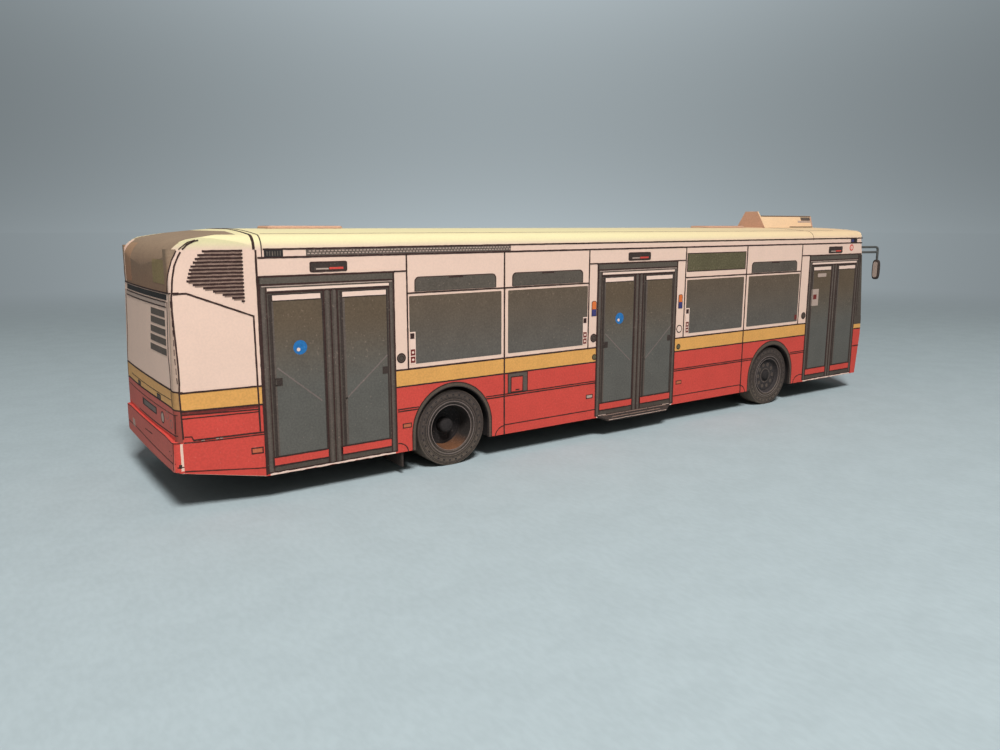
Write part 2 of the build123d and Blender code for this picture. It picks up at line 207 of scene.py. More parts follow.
tones = {  # name, colour, grain, share of specks, then the tone above with its heights, and the one ahead
    "card": ("bareCard", paper["white"], 0.022, 0.0),
    # the roof turns cream towards its top, partly its own cream and partly a painted warm highlight; the
    # oranger tone towards the front is painted shade where the light falls off
    "roof": ("creamCard", paper["white"], 0.018, 0.0,
             (236, 223, 174), (26.5, 27.7), (238, 206, 164), (-15, 62)),
    "cooler": ("coolerCard", (236, 200, 160), 0.03, 0.0),
    # tan: the cut card edge's colour, and on the cooler's rear plate painted shade
    "tan": ("tanCard", (204, 160, 136), 0.05, 0.0),
    "white": ("whitePrint", (243, 210, 192), 0.02, 0.0),
    "red": ("redPrint", (212, 77, 66), 0.06, 0.06),
    "yellow": ("yellowPrint", (229, 167, 92), 0.06, 0.06),
    # paler, greyer copies of red and yellow for the rear face: a painted sheen
    "rearRed": ("rearRedPrint", (202, 106, 94), 0.06, 0.06),
    "rearYellow": ("rearYellowPrint", (224, 170, 110), 0.06, 0.06),
    # darker copies of white, yellow and red: painted shade over the folded rear corners
    "foldWhite": ("foldWhitePrint", (186, 158, 140), 0.04, 0.0),
    "foldYellow": ("foldYellowPrint", (176, 134, 86), 0.06, 0.0),
    "foldRed": ("foldRedPrint", (150, 74, 64), 0.06, 0.0),
    "line": ("linePrint", (62, 42, 38), 0.16, 0.06),
    "faint": ("faintLinePrint", (145, 118, 104), 0.12, 0.15),
    "window": ("windowPrint", (96, 91, 85), 0.09, 0.06, (100, 85, 70), (12.0, 22.0)),
    "rearGlass": ("rearGlassPrint", (148, 115, 92), 0.08, 0.06, (150, 127, 104), (23.0, 28.0)),
    "rearGlassLeft": ("rearGlassLeftPrint", (170, 122, 93), 0.08, 0.06, (168, 134, 104), (23.0, 28.0)),
    "transom": ("transomPrint", (92, 83, 74), 0.12, 0.10),
    "doorGlass": ("doorGlassPrint", (97, 94, 88), 0.09, 0.08, (99, 83, 66), (11.0, 20.5)),
    "doorFrame": ("doorFramePrint", (84, 74, 66), 0.12, 0.08),
    "doorDark": ("doorDarkPrint", (64, 53, 48), 0.15, 0.08),
    "olive": ("olivePrint", (148, 126, 88), 0.10, 0.06),
    "amber": ("amberPrint", (196, 104, 72), 0.06, 0.04),
    "green": ("greenWindowPrint", (98, 90, 66), 0.16, 0.12),
    "grey": ("greyPrint", (98, 86, 78), 0.12, 0.12),
    "lip": ("archLipPrint", (94, 80, 69), 0.10, 0.04),
    "pale": ("paleGreyPrint", (184, 160, 146), 0.05, 0.05),
    "orange": ("orangePrint", (222, 116, 60), 0.08, 0.05),
    "blue": ("bluePrint", (41, 114, 176), 0.10, 0.05),
    "indigo": ("indigoPrint", (64, 64, 112), 0.10, 0.05),
    "maroon": ("maroonPrint", (116, 47, 43), 0.12, 0.06),
    "glint": ("glintPrint", (122, 108, 102), 0.06, 0.10),
    "soot": ("sootPrint", (46, 41, 40), 0.16, 0.04),
    "tyre": ("tyrePrint", (104, 91, 80), 0.14, 0.06, (84, 72, 65), (1.5, 5.0)),
    "tyreDark": ("tyreDarkPrint", (58, 52, 51), 0.16, 0.08),
    # the rear rims: dark, brown-orange low in the barrel as a painted highlight
    "rust": ("barrelPrint", (112, 74, 50), 0.16, 0.06, (50, 44, 41), (1.9, 3.5)),
    "rimLight": ("rimLightPrint", (135, 120, 114), 0.10, 0.05),
    "lens": ("lensPrint", (205, 192, 180), 0.06, 0.05),
    "under": ("underPrint", (84, 77, 72), 0.12, 0.08),
}
inks = {tint: printed(*tone) for tint, tone in tones.items()}

wire = Finish("paintedWire", roughness=0.45, specular=0.5)
wire.wear("Base Color", wire.mix(wire.noise(0.5), ink(62, 62, 60), ink(96, 94, 90)))
wire.bump(wire.noise(0.12), 0.2, 0.01)
steel = Finish("steelWire", roughness=0.35, specular=0.5, metallic=1.0)
steel.wear("Base Color", steel.mix(steel.noise(0.4, 3.0, (1, 6, 1)), ink(150, 148, 146), ink(186, 184, 180)))
inks["wire"] = wire.material
inks["steel"] = steel.material
print("materials made:", len(inks))


# one piece from vertices in millimetres and faces, closed and facing outwards
def makePiece(name, vertices, faces, material, body, slot, smooth=35):
    mesh = bpy.data.meshes.new(name)
    mesh.from_pydata(np.asarray(vertices) * mm, [], faces)
    shape = bmesh.new()
    shape.from_mesh(mesh)
    bmesh.ops.recalc_face_normals(shape, faces=shape.faces)
    shape.to_mesh(mesh)
    shape.free()
    mesh.shade_smooth()
    mesh.set_sharp_from_angle(angle=math.radians(smooth))
    mesh.materials.append(material)
    piece = placed(name, mesh)
    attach(piece, body)
    return piece


# the quads of a grid of rows by columns, its columns closed into a ring when it is wrapped
def gridFaces(rows, columns, wrapped=False):
    across = columns if wrapped else columns - 1
    row, column = np.meshgrid(np.arange(rows - 1), np.arange(across), indexing="ij")
    after = (column + 1) % columns
    first, second = row * columns, (row + 1) * columns
    return np.stack([first + column, first + after, second + after, second + column], -1).reshape(-1, 4)


def skin(loops):  # closed loops of points joined one after the other, with a cap at both ends
    count, vertices = len(loops[0]), np.vstack(loops)
    faces = gridFaces(len(loops), count, True).tolist()
    return vertices, faces + [list(range(count)), list(range(len(vertices) - count, len(vertices)))]


# a closed ring: its cross-section (radius, across) turned about the axle through (x, z)
def turned(section, middle, turns=96):
    radius, across = np.array(section, float).T
    angle = np.linspace(0, 2 * np.pi, turns, endpoint=False)[:, None]
    x = middle[0] + radius * np.cos(angle)
    z = middle[1] + radius * np.sin(angle)
    points = np.stack([x, np.broadcast_to(across, x.shape), z], -1).reshape(-1, 3)
    return points, (gridFaces(turns + 1, len(section), True) % len(points)).tolist()


# the same for a cross-section that touches the axis, whose points there are merged into one
def lathed(section, middle, turns=48):
    vertices, faces = turned(section, middle, turns)
    merged, index = np.unique(vertices.round(6), axis=0, return_inverse=True)
    loops = [list(dict.fromkeys(index.ravel()[face].tolist())) for face in faces]
    return merged, [loop for loop in loops if len(loop) > 2]


def arc(middle, radius, start, turn, points, closed=False):  # points on a circle, from an angle over a turn
    angle = start + np.linspace(0, turn, points, endpoint=not closed)
    return np.stack([middle[0] + radius * np.cos(angle), middle[1] + radius * np.sin(angle)], -1)


def circle(middle, radius, points):  # the same all the way round
    return arc(middle, radius, 0.0, 2 * np.pi, points, True)


# a rectangle's outline, its corners quarter circles: radii from the lower left, turning left
def roundedOutline(along, high, radii, points):
    arcs = []
    for (right, up, start), radius in zip(((0, 0, 1.0), (1, 0, 1.5), (1, 1, 0.0), (0, 1, 0.5)), radii):
        middle = (along[right] - (2 * right - 1) * radius, high[up] - (2 * up - 1) * radius)
        arcs.append(arc(middle, radius, start * np.pi, np.pi / 2, points))
    return np.vstack(arcs)


def inset(span, rim):  # a span without a rim at both ends
    return span[0] + rim, span[1] - rim


def reachAlong(points):  # how far along a line each of its points lies
    return np.concatenate([[0], np.cumsum(np.linalg.norm(np.diff(points, axis=0), axis=1))])


film = {"step": 0.012, "sink": 0.02, "wander": 0.014, "stretch": 0.45}  # printed layers, mm


class Print:  # gathers the marks printed on one face of the card, as thin closed films laid on it
    # bends are the places across and up where the surface curves, so the films are cut there
    def __init__(self, name, place, body="body", slot="body_print", bends=(None, None)):
        self.name, self.place, self.body, self.slot, self.bends = name, place, body, slot, bends
        self.films = {}

    def cut(self, span, axis):  # a span's ends and the bends between them
        bends = self.bends[axis]
        inner = [] if bends is None else bends[(bends > span[0] + 0.01) & (bends < span[1] - 0.01)]
        return np.concatenate([span[:1], inner, span[1:]])

    # u and v are the outline or grid in the face's own millimetres, rims its border loops
    def film(self, tint, u, v, faces, rims, level):
        count = len(u)
        top = self.place(u, v, np.full(count, level * film["step"]))
        under = self.place(u, v, np.full(count, -film["sink"]))
        faces = [list(face) for face in faces]
        faces += [[index + count for index in face[::-1]] for face in faces]
        for rim in rims:
            rim = np.asarray(rim)
            after = np.roll(rim, -1)
            faces += np.stack([rim, rim + count, after + count, after], -1).tolist()
        self.films.setdefault(tint, []).append((np.vstack([top, under]), faces))

    def field(self, tint, along, high, level=1):  # a rectangle
        across, up = self.cut(along, 0), self.cut(high, 1)
        u, v = (part.ravel() for part in np.meshgrid(across, up, indexing="ij"))
        rows, columns = len(across), len(up)
        index = np.arange(rows * columns).reshape(rows, columns)
        rim = np.concatenate([index[:, 0], index[-1, 1:], index[-2::-1, -1], index[0, -2:0:-1]])
        self.film(tint, u, v, gridFaces(rows, columns), [rim], level)

    def bar(self, tint, ends, high, width, level=3):  # a level line with straight edges
        self.field(tint, ends, (high - width / 2, high + width / 2), level)

    def band(self, tint, low, high, level=1):  # between two lines of points with the same ends
        low, high = np.array(low, float), np.array(high, float)
        across = np.union1d(self.cut(low[[0, -1], 0], 0), np.concatenate([low[:, 0], high[:, 0]]))
        up = [np.interp(across, *line.T) for line in (low, high)]
        count = len(across)
        rim = [*range(count), *range(2 * count - 1, count - 1, -1)]
        self.film(tint, np.tile(across, 2), np.concatenate(up), gridFaces(2, count), [rim], level)

    def shape(self, tint, points, level=1):  # any outline
        u, v = np.array(points, float).T
        self.film(tint, u, v, [range(len(u))], [range(len(u))], level)

    def rounded(self, tint, along, high, radii, level=1):  # a rectangle with round corners
        self.shape(tint, roundedOutline(along, high, np.broadcast_to(radii, 4), 7), level)

    # a pen line along points, its two edges wandering a little, cut every so often
    def stroke(self, tint, points, width, level=3, closed=False, wander=None):
        points = np.array(points, float)
        if closed:
            points = np.vstack([points, points[:1]])
        reach = reachAlong(points)
        steps = max(int(reach[-1] / film["stretch"]), 1)
        marks = np.unique(np.concatenate([np.linspace(0, reach[-1], steps + 1), reach]).round(5))
        path = np.stack([np.interp(marks, reach, points[:, axis]) for axis in (0, 1)], -1)
        if closed:
            path = path[:-1]
            ahead = np.roll(path, -1, axis=0) - path
            before = np.roll(ahead, 1, axis=0)
        else:
            ahead = np.vstack([np.diff(path, axis=0), path[-1] - path[-2]])
            before = np.vstack([ahead[:1], ahead[:-1]])
        ahead /= np.linalg.norm(ahead, axis=1, keepdims=True)
        before /= np.linalg.norm(before, axis=1, keepdims=True)
        bisector = ahead + before
        bisector /= np.linalg.norm(bisector, axis=1, keepdims=True)
        normal = np.stack([-bisector[:, 1], bisector[:, 0]], -1)
        spread = 1 / np.maximum(np.sum(bisector * ahead, axis=1), 0.5)[:, None]
        loose = film["wander"] if wander is None else wander
        edges = random.uniform(-loose, loose, (2, len(path), 1))
        left = path + normal * (spread * width / 2 + edges[0])
        right = path - normal * (spread * width / 2 + edges[1])
        count = len(path)
        grid = np.vstack([left, right])
        if closed:
            rims = [range(count), range(2 * count - 1, count - 1, -1)]
        else:
            rims = [[*range(count), *range(2 * count - 1, count - 1, -1)]]
        self.film(tint, grid[:, 0], grid[:, 1], gridFaces(2, count, closed), rims, level)

    def line(self, tint, start, end, width=0.2, level=3):
        self.stroke(tint, [start, end], width, level)

    # a frame of pen line round a rectangle, with square or rounded corners
    def frame(self, tint, along, high, width=0.16, level=3, radius=0.0):
        (left, right), (low, top) = along, high
        square = [(left, low), (right, low), (right, top), (left, top)]
        outline = roundedOutline(along, high, (radius,) * 4, 5) if radius else square
        self.stroke(tint, outline, width, level, closed=True)

    # a rectangle with a pen line of another ink on its edge
    def bordered(self, tint, edge, along, high, width, level):
        self.field(tint, along, high, level)
        self.frame(edge, along, high, width, level + 1)

    # a rounded line round a fill whose corners are a little tighter
    def window(self, tint, along, high, rim, radius, level=2):
        self.rounded("line", along, high, radius, level)
        self.rounded(tint, inset(along, rim), inset(high, rim), radius - 0.1, level + 1)

    def disc(self, tint, middle, radius, level=3, points=32):
        self.shape(tint, circle(middle, radius, points), level)

    def ring(self, tint, middle, radius, width, level=3, points=48):
        self.stroke(tint, circle(middle, radius, points), width, level, closed=True, wander=0.006)

    def finish(self):  # one piece for each ink used
        for tint, films in self.films.items():
            starts = np.cumsum([0] + [len(vertices) for vertices, faces in films[:-1]])
            vertices = np.vstack([vertices for vertices, faces in films])
            faces = [[index + start for index in face]
                     for start, (_, group) in zip(starts, films) for face in group]
            name = self.name + tint[0].upper() + tint[1:]
            makePiece(name, vertices, faces, inks[tint], self.body, self.slot)
        marks = sum(len(films) for films in self.films.values())
        print(self.name, "printed in", len(self.films), "inks,", marks, "marks")


sideLow, sideHigh = corners("right_side")
roofLow, roofHigh = corners("roof")
rearEnd = 8.2                      # rear corner to the seam behind the sides, mm
rearCorner = sideLow[0] - rearEnd  # places along are counted from here
noseSeam = sideHigh[0] - rearCorner
capSeam = roofHigh[0] - rearCorner
flankEnd = noseSeam + 1.25         # where the side's print meets the nose's
beltHalf = -sideLow[1]
gutterHalf = -roofLow[1]
skirt, gutter = sideLow[2], sideHigh[2]
crown = roofHigh[2]
belt = corners("windscreen")[0][2]
header = corners("windscreen")[1][2]
sill = corners("rear_window")[0][2]
axles = {end: np.mean(corners(end + "_axle"), axis=0) for end in ("rear", "front")}
axleHigh = axles["rear"][2]
axleAlong = {end: middle[0] - rearCorner for end, middle in axles.items()}

shell = {
    "taper": 1.0,         # how much narrower the rear corners are
    "rearBow": 0.3, "noseBow": 1.0,
    "fold": 0.5,          # radius of the folded corners
    "shoulder": 1.4,      # radius between flank and roof
    "shoulderRise": 1.35,
    "flankLean": 0.05,
    "rearRound": 3.0,     # radius from the rear face to the roof
    "rearTop": 0.7, "rearSlope": 11.3, "roofAbove": 0.4,
    "noseTop": 2.0, "noseSlope": 11.0,
    "rise": 0.3,          # the print climbs this much from rear to front
    "riseFrom": 10, "riseOver": 108,
    "slant": 0.0122,      # and runs ahead on the leaning part, by this share for each mm along
    "slantFrom": -19,
}
rearHeights, rearLine = (skirt, belt, sill), (-0.5, -0.4, 0.0)
noseHeights = (skirt, 10.0, belt, 17.0, header, gutter)
noseLine = (117.5, 118.3, 118.2, 118.0, 117.7, 117.3)

# the roof is an arc through its crown, met by a small arc on each shoulder
archRise = crown - gutter - shell["shoulderRise"]
archRadius = ((gutterHalf - shell["flankLean"]) ** 2 + archRise ** 2) / (2 * archRise)
shoulderHalf = gutterHalf - shell["shoulder"]
shoulderHigh = crown - archRadius + math.sqrt((archRadius - shell["shoulder"]) ** 2 - shoulderHalf ** 2)
archTurn = math.asin(shoulderHalf / (archRadius - shell["shoulder"]))
archReach = archTurn * archRadius
shoulderReach = archReach + (math.pi / 2 - archTurn) * shell["shoulder"]
roofTop = crown + shell["roofAbove"]             # where both ends' slopes would reach it
noseTip = noseLine[-1] + shell["noseBow"]


def flankHalf(high):  # half the body's width: upright, leaning in above the belt, round at the shoulder
    lean = beltHalf + (gutterHalf - beltHalf) * np.clip((high - belt) / (gutter - belt), 0, 1)
    over = np.clip(high - shoulderHigh, 0, shell["shoulder"])
    return lean - shell["shoulder"] + np.sqrt(shell["shoulder"] ** 2 - over ** 2)


def lifted(along, high):  # the print's slow climb to the front, nothing at the skirt
    climb = shell["rise"] * np.clip((along - shell["riseFrom"]) / shell["riseOver"], -0.1, 1)
    return high + climb * np.clip((high - skirt - 0.3) / 2, 0, 1)


def unlifted(points):  # the same places, written so that the climb brings the marks back onto them
    along, high = np.array(points, float).T
    drawn = high
    for _ in range(6):
        drawn = high - (lifted(along, drawn) - drawn)
    return np.stack([along, drawn], -1)


def flankPlace(side):  # side is -1 on the right and 1 on the left
    def place(along, high, lift):
        high = lifted(along, high)
        ahead = shell["slant"] * np.clip(along - shell["slantFrom"], 0, None)
        along = along + (beltHalf - flankHalf(high)) * ahead
        back = np.interp(high, rearHeights, rearLine)
        taper = shell["taper"] * np.clip((rearEnd - along) / (rearEnd - back), 0, None)
        return np.stack([rearCorner + along, side * (flankHalf(high) - taper + lift), high], -1)
    return place


# round one end: from the middle of the bowed face, round the folded corner, back along the flank
# s is that distance and q and p its places across and outwards from the corner's own line
def endPlace(cornerAt, heights, bow, taper, depthFrom, outwards, halfAt=flankHalf):
    def place(s, high, lift):
        half = halfAt(high) - taper
        depth = np.abs(depthFrom - np.interp(high, heights, cornerAt))
        slope = 2 * bow / half
        towards = np.stack([slope, -np.ones_like(half)]) / np.hypot(slope, 1)
        back = np.stack([-depth, np.full_like(half, taper)]) / np.hypot(depth, taper)
        turn = np.arccos(np.clip(np.sum(towards * back, 0), -1, 1))
        cut = shell["fold"] / np.tan(turn / 2)
        centre = (towards + back) / np.linalg.norm(towards + back, axis=0) * shell["fold"] / np.sin(turn / 2)
        faceTurn = np.arctan2(-towards[0], -towards[1])      # the face's normal, from straight outwards
        bend = np.pi - turn
        curve = shell["fold"] * bend
        reach = np.abs(s)
        face = half - cut
        onFace = np.minimum(reach, face)
        share = np.clip((reach - face) / curve, 0, 1)
        angle = -faceTurn + share * bend
        ends = np.clip(reach - face - curve, 0, None)
        cornerP = centre[0] + shell["fold"] * np.cos(angle)
        cornerQ = half + centre[1] + shell["fold"] * np.sin(angle)
        faceAngle = 2 * bow * onFace / half ** 2
        p = np.where(reach <= face, bow * (1 - (onFace / half) ** 2), cornerP) + back[0] * ends
        q = np.where(reach <= face, onFace, cornerQ) + back[1] * ends
        lean = np.where(reach <= face, faceAngle, angle)
        p, q = p + lift * np.cos(lean), q + lift * np.sin(lean)
        x = rearCorner + np.interp(high, heights, cornerAt) + outwards * p
        return np.stack([x, -np.sign(s) * q, high], -1)
    return place


tailPlace = endPlace(rearLine, rearHeights, shell["rearBow"], shell["taper"], rearEnd, -1)
nosePlace = endPlace(noseLine, noseHeights, shell["noseBow"], 0.0, noseSeam, 1)


def roofPlace(along, s, lift):  # s runs over the roof from its middle and down the flanks
    reach = np.abs(s)
    onArch = reach <= archReach
    onShoulder = archTurn + (reach - archReach) / shell["shoulder"]
    turn = np.minimum(np.where(onArch, reach / archRadius, onShoulder), math.pi / 2)
    radius = np.where(onArch, archRadius, shell["shoulder"])
    across = np.where(onArch, 0, shoulderHalf) + (radius + lift) * np.sin(turn)
    high = np.where(onArch, crown - archRadius, shoulderHigh) + (radius + lift) * np.cos(turn)
    high = high - np.clip(reach - shoulderReach, 0, None)
    for inwards, foot, length in ((along + shell["rearBow"], shell["rearTop"], shell["rearSlope"]),
                                  (noseTip - along, shell["noseTop"], shell["noseSlope"])):
        slope = gutter + foot + inwards * (roofTop - gutter - foot) / length
        high = np.minimum(high, slope + lift)
    return np.stack([rearCorner + along, -np.sign(s) * across, high], -1)


def bothWays(*spans):  # stepped places and their mirror images
    places = np.concatenate([np.arange(*span) for span in spans])
    return np.sort(np.concatenate([-places, places]))


flankBends = (None, np.union1d(np.arange(3.0, 28.0, 0.6), belt))
aroundEnd = bothWays((0.3, 10.2, 0.6), (10.2, 12.9, 0.06), (13.0, 21.0, 0.9))
tailBends = (aroundEnd, np.union1d(np.arange(3.0, 28.0, 0.8), rearHeights))
noseBends = (aroundEnd, np.union1d(np.arange(3.0, 28.0, 0.8), noseHeights))
roofBends = (np.concatenate([np.arange(-0.4, 12, 0.4), np.arange(12, 106, 4), np.arange(106, 118, 0.4)]),
             bothWays((0.35, 10, 0.7), (10, 13.4, 0.1)))
glassBends = (bothWays((0.35, 10.5, 0.7)), np.arange(22.8, 28.6, 0.2))


# the rear window's face: the bowed end, or the big arc over it where that is further in
def rearWindowPlace(s, high, lift):
    slope = math.atan2(roofTop - gutter - shell["rearTop"], shell["rearSlope"])
    start = gutter + shell["rearTop"] - shell["rearRound"] * math.tan((math.pi / 2 - slope) / 2)
    half = flankHalf(high) - shell["taper"]
    face = -shell["rearBow"] * (1 - (s / half) ** 2) - lift
    over = np.clip(high - start, 0, shell["rearRound"])
    radius = shell["rearRound"] + lift
    bent = shell["rearRound"] - shell["rearBow"] - np.sqrt(np.clip(radius ** 2 - over ** 2, 0, None))
    return np.stack([rearCorner + np.maximum(face, np.where(over > 0, bent, face)), -s, high], -1)


arch = {"radius": 5.2, "lip": 0.45, "line": 0.13, "points": 33, "corner": 7.6}


def archLoop(along, radius, foot=skirt):  # up one leg, over the half circle, down the other
    loop = arc((along, axleHigh), radius, np.pi, -np.pi, arch["points"])
    return np.vstack([[along - radius, foot], loop, [along + radius, foot]])


door = {
    "starts": (8.3, 54.5, 101.5), "widths": (15.6, 15.45, 14.3), "drawn": 15.5,
    "top": 23.96, "band": 0.76, "foot": 3.16,
    "glass": ((1.3, 6.75), (9.15, 14.4)), "glassHigh": (4.85, 21.4),
    "labels": ((1.36, 6.7), (9.1, 14.45)), "labelHigh": (21.42, 22.06),
    "kicks": ((0.76, 7.0), (8.44, 14.74)), "kickHigh": (3.8, 4.74),
    "strip": ((0.9, 14.8), (22.46, 22.74)),
    "handles": ((1.3, 2.1), (13.75, 14.5)), "handleHigh": (12.45, 13.3),
    "display": ((5.65, 9.8), (24.3, 25.3)),
}


def printDoor(flank, start, width, number):  # drawn on one width, stretched to its own
    def at(place):
        return start + place * width / door["drawn"]

    def fit(pair):
        return at(pair[0]), at(pair[1])

    def level(tint, ends, high, wide, layer):
        flank.line(tint, (at(ends[0]), high), (at(ends[1]), high), wide, layer)

    def posts(rows, high, layer):
        for place, wide, tint in rows:
            flank.line(tint, (at(place), door["foot"]), (at(place), high), wide, layer)

    whole = (0, door["drawn"])
    flank.field("doorFrame", fit(whole), (door["foot"], door["top"]), 2)
    flank.field("transom", fit((0, 15.25)), (door["top"] - door["band"], door["top"]), 3)
    flank.line("line", (at(0) - 0.15, door["top"]), (at(whole[1]) + 0.05, door["top"]), 0.2, 4)
    level("line", whole, 23.12, 0.16, 4)
    level("pale", (0.35, 15.2), 22.95, 0.1, 4)
    posts([(0.08, 0.26, "line")], door["top"], 3)
    posts([(0.42, 0.3, "grey"), (0.78, 0.12, "line"), (14.78, 0.14, "line"), (15.02, 0.24, "grey")], 22.9, 3)
    posts([(15.4, 0.2, "line")], door["top"], 3)
    flank.field("doorDark", fit((0.9, 14.7)), (22.2, 22.42), 3)
    flank.field("white", fit(door["strip"][0]), door["strip"][1], 4)
    level("line", (0.85, 14.75), 22.3, 0.16, 4)
    for pair, shadow in zip(door["glass"], (0.17, 0.25)):
        left, right = fit(pair)
        flank.field("doorDark", (left - 0.32, right + 0.2), (door["kickHigh"][1], 22.1), 3)
        flank.field("doorGlass", (left, right), door["glassHigh"], 4)
        flank.field("grey", (left, left + shadow), door["glassHigh"], 5)
    for pair in door["labels"]:
        flank.bordered("white", "doorDark", fit(pair), door["labelHigh"], 0.1, 5)
    posts([(7.0, 0.2, "line"), (7.4, 0.3, "grey"), (7.8, 0.16, "line"), (8.2, 0.3, "grey"),
           (8.55, 0.18, "line")], 22.3, 5)
    for pair in door["kicks"]:
        flank.bordered("red", "line", fit(pair), door["kickHigh"], 0.14, 5)
    if number < 2:
        for pair in door["handles"]:
            flank.field("doorDark", fit(pair), door["handleHigh"], 5)
        flank.line("glint", (at(1.6), 14.4), (at(6.4), 10.3), 0.14, 5)
        flank.line("glint", (at(14.4), 14.6), (at(9.2), 10.1), 0.14, 5)
        flank.disc("blue", (at(4.18), 16.36), 0.77, 5)
        flank.disc("white", (at(3.98), 16.14), 0.2, 6, 16)
    else:
        flank.rounded("pale", fit((2.7, 5.3)), (20.3, 20.9), 0.12, 5)
        flank.field("pale", fit((1.2, 3.3)), (15.5, 18.3), 5)
        flank.field("maroon", fit((1.7, 2.7)), (16.6, 17.4), 6)
    pair, high = fit(door["display"][0]), door["display"][1]
    flank.rounded("doorDark", pair, high, 0.16, 3)
    flank.frame("line", pair, high, 0.12, 4, 0.16)
    flank.field("pale", fit((6.3, 7.7)), (high[0] + 0.2, high[0] + 0.36), 5)
    flank.field("red", fit((7.8, 9.4)), (high[0] + 0.2, high[0] + 0.42), 5)
    level("line", whole, skirt + 0.28, 0.16, 4)
    flank.stroke("white", [(at(0.3), skirt + 0.12), (at(15.2), skirt + 0.12)], 0.17, 6, wander=0.04)


pane = {
    "high": (13.2, 21.1), "round": 0.14, "frameLine": 21.46,
    "transomHigh": (21.6, 23.2), "transomRound": 0.6,
}


def printPane(flank, left, right, notch=None):  # a dark pane, with or without stickers
    flank.rounded("window", (left, right), pane["high"], pane["round"], 2)
    if notch:  # a column of small stickers in a lower corner: -1 at the left, 1 at the right
        edges = (left, left + 0.75) if notch < 0 else (right - 0.75, right)
        flank.field("white", edges, (13.2, 16.95), 3)
        flank.field("line", (edges[0] + 0.05, edges[1] - 0.15), (16.15, 16.8), 4)
        for high in (13.35, 14.2):
            flank.field("maroon", (edges[0] + 0.08, edges[1] - 0.08), (high, high + 0.72), 4)
            flank.disc("white", ((edges[0] + edges[1]) / 2, high + 0.36), 0.15, 5, 12)


def printTransom(flank, left, right, latch):  # the narrow pane above, round at its top
    radii = (0.0, 0.0, pane["transomRound"], pane["transomRound"])
    low, high = pane["transomHigh"]
    flank.rounded("line", (left - 0.12, right + 0.12), (low, high + 0.1), radii, 2)
    flank.rounded("transom", (left, right), (low, high), radii, 3)
    flank.line("line", (latch, 23.1), (latch + 2.0, 23.1), 0.16, 4)


def printSticker(flank, left, high):  # orange over blue, in a round-headed border
    flank.rounded("line", (left - 0.08, left + 0.78), (high - 2.0, high + 0.06), (0.05, 0.05, 0.3, 0.3), 3)
    flank.rounded("orange", (left, left + 0.7), (high - 1.06, high), (0.03, 0.03, 0.28, 0.28), 4)
    flank.field("indigo", (left, left + 0.7), (high - 1.94, high - 1.08), 4)


def printButton(flank, middle, filled=True):  # a disc on a darker disc
    flank.disc("line", middle, 0.58, 3)
    flank.disc("doorFrame" if filled else "white", middle, 0.44, 4)
    if filled:
        flank.ring("line", middle, 0.26, 0.08, 5, 20)


def printMarker(flank, left, tint="amber"):  # a side lamp in a thin border
    flank.field("line", (left, left + 1.2), (5.66, 6.24), 3)
    flank.field(tint, (left + 0.12, left + 1.08), (5.77, 6.13), 4)


stripes = {"redTop": 10.66, "windowTop": 24.0, "gutterLine": 25.9, "hem": 4.05,
           "skirtLines": ((8.0, 0.13), (7.74, 0.15))}
spans = {  # where the lines run between doors and arches
    "right": {"belt": ((23.9, 54.5), (69.95, 101.5), (115.8, flankEnd)),
              "skirt": ((24.0, 26.8), (36.35, 54.5), (70.0, 88.0), (97.65, 101.5)),
              "hem": ((39.2, 54.5), (70.0, 85.2), (100.4, 101.5))},
    "left": {"belt": ((rearEnd, flankEnd),),
             "skirt": ((8.4, 26.8), (36.35, 88.0), (97.65, flankEnd)),
             "hem": ((8.4, 23.9), (39.2, 85.2), (100.4, flankEnd))},
}


def levels(flank, runs, high, width, layer=4):  # level lines, each from one place along to another
    for start, end in runs:
        flank.line("line", (start, high), (end, high), width, layer)


def uprights(flank, places, low, high, width, layer=4):  # one upright line at each place
    for place in places:
        flank.line("line", (place, low), (place, high), width, layer)


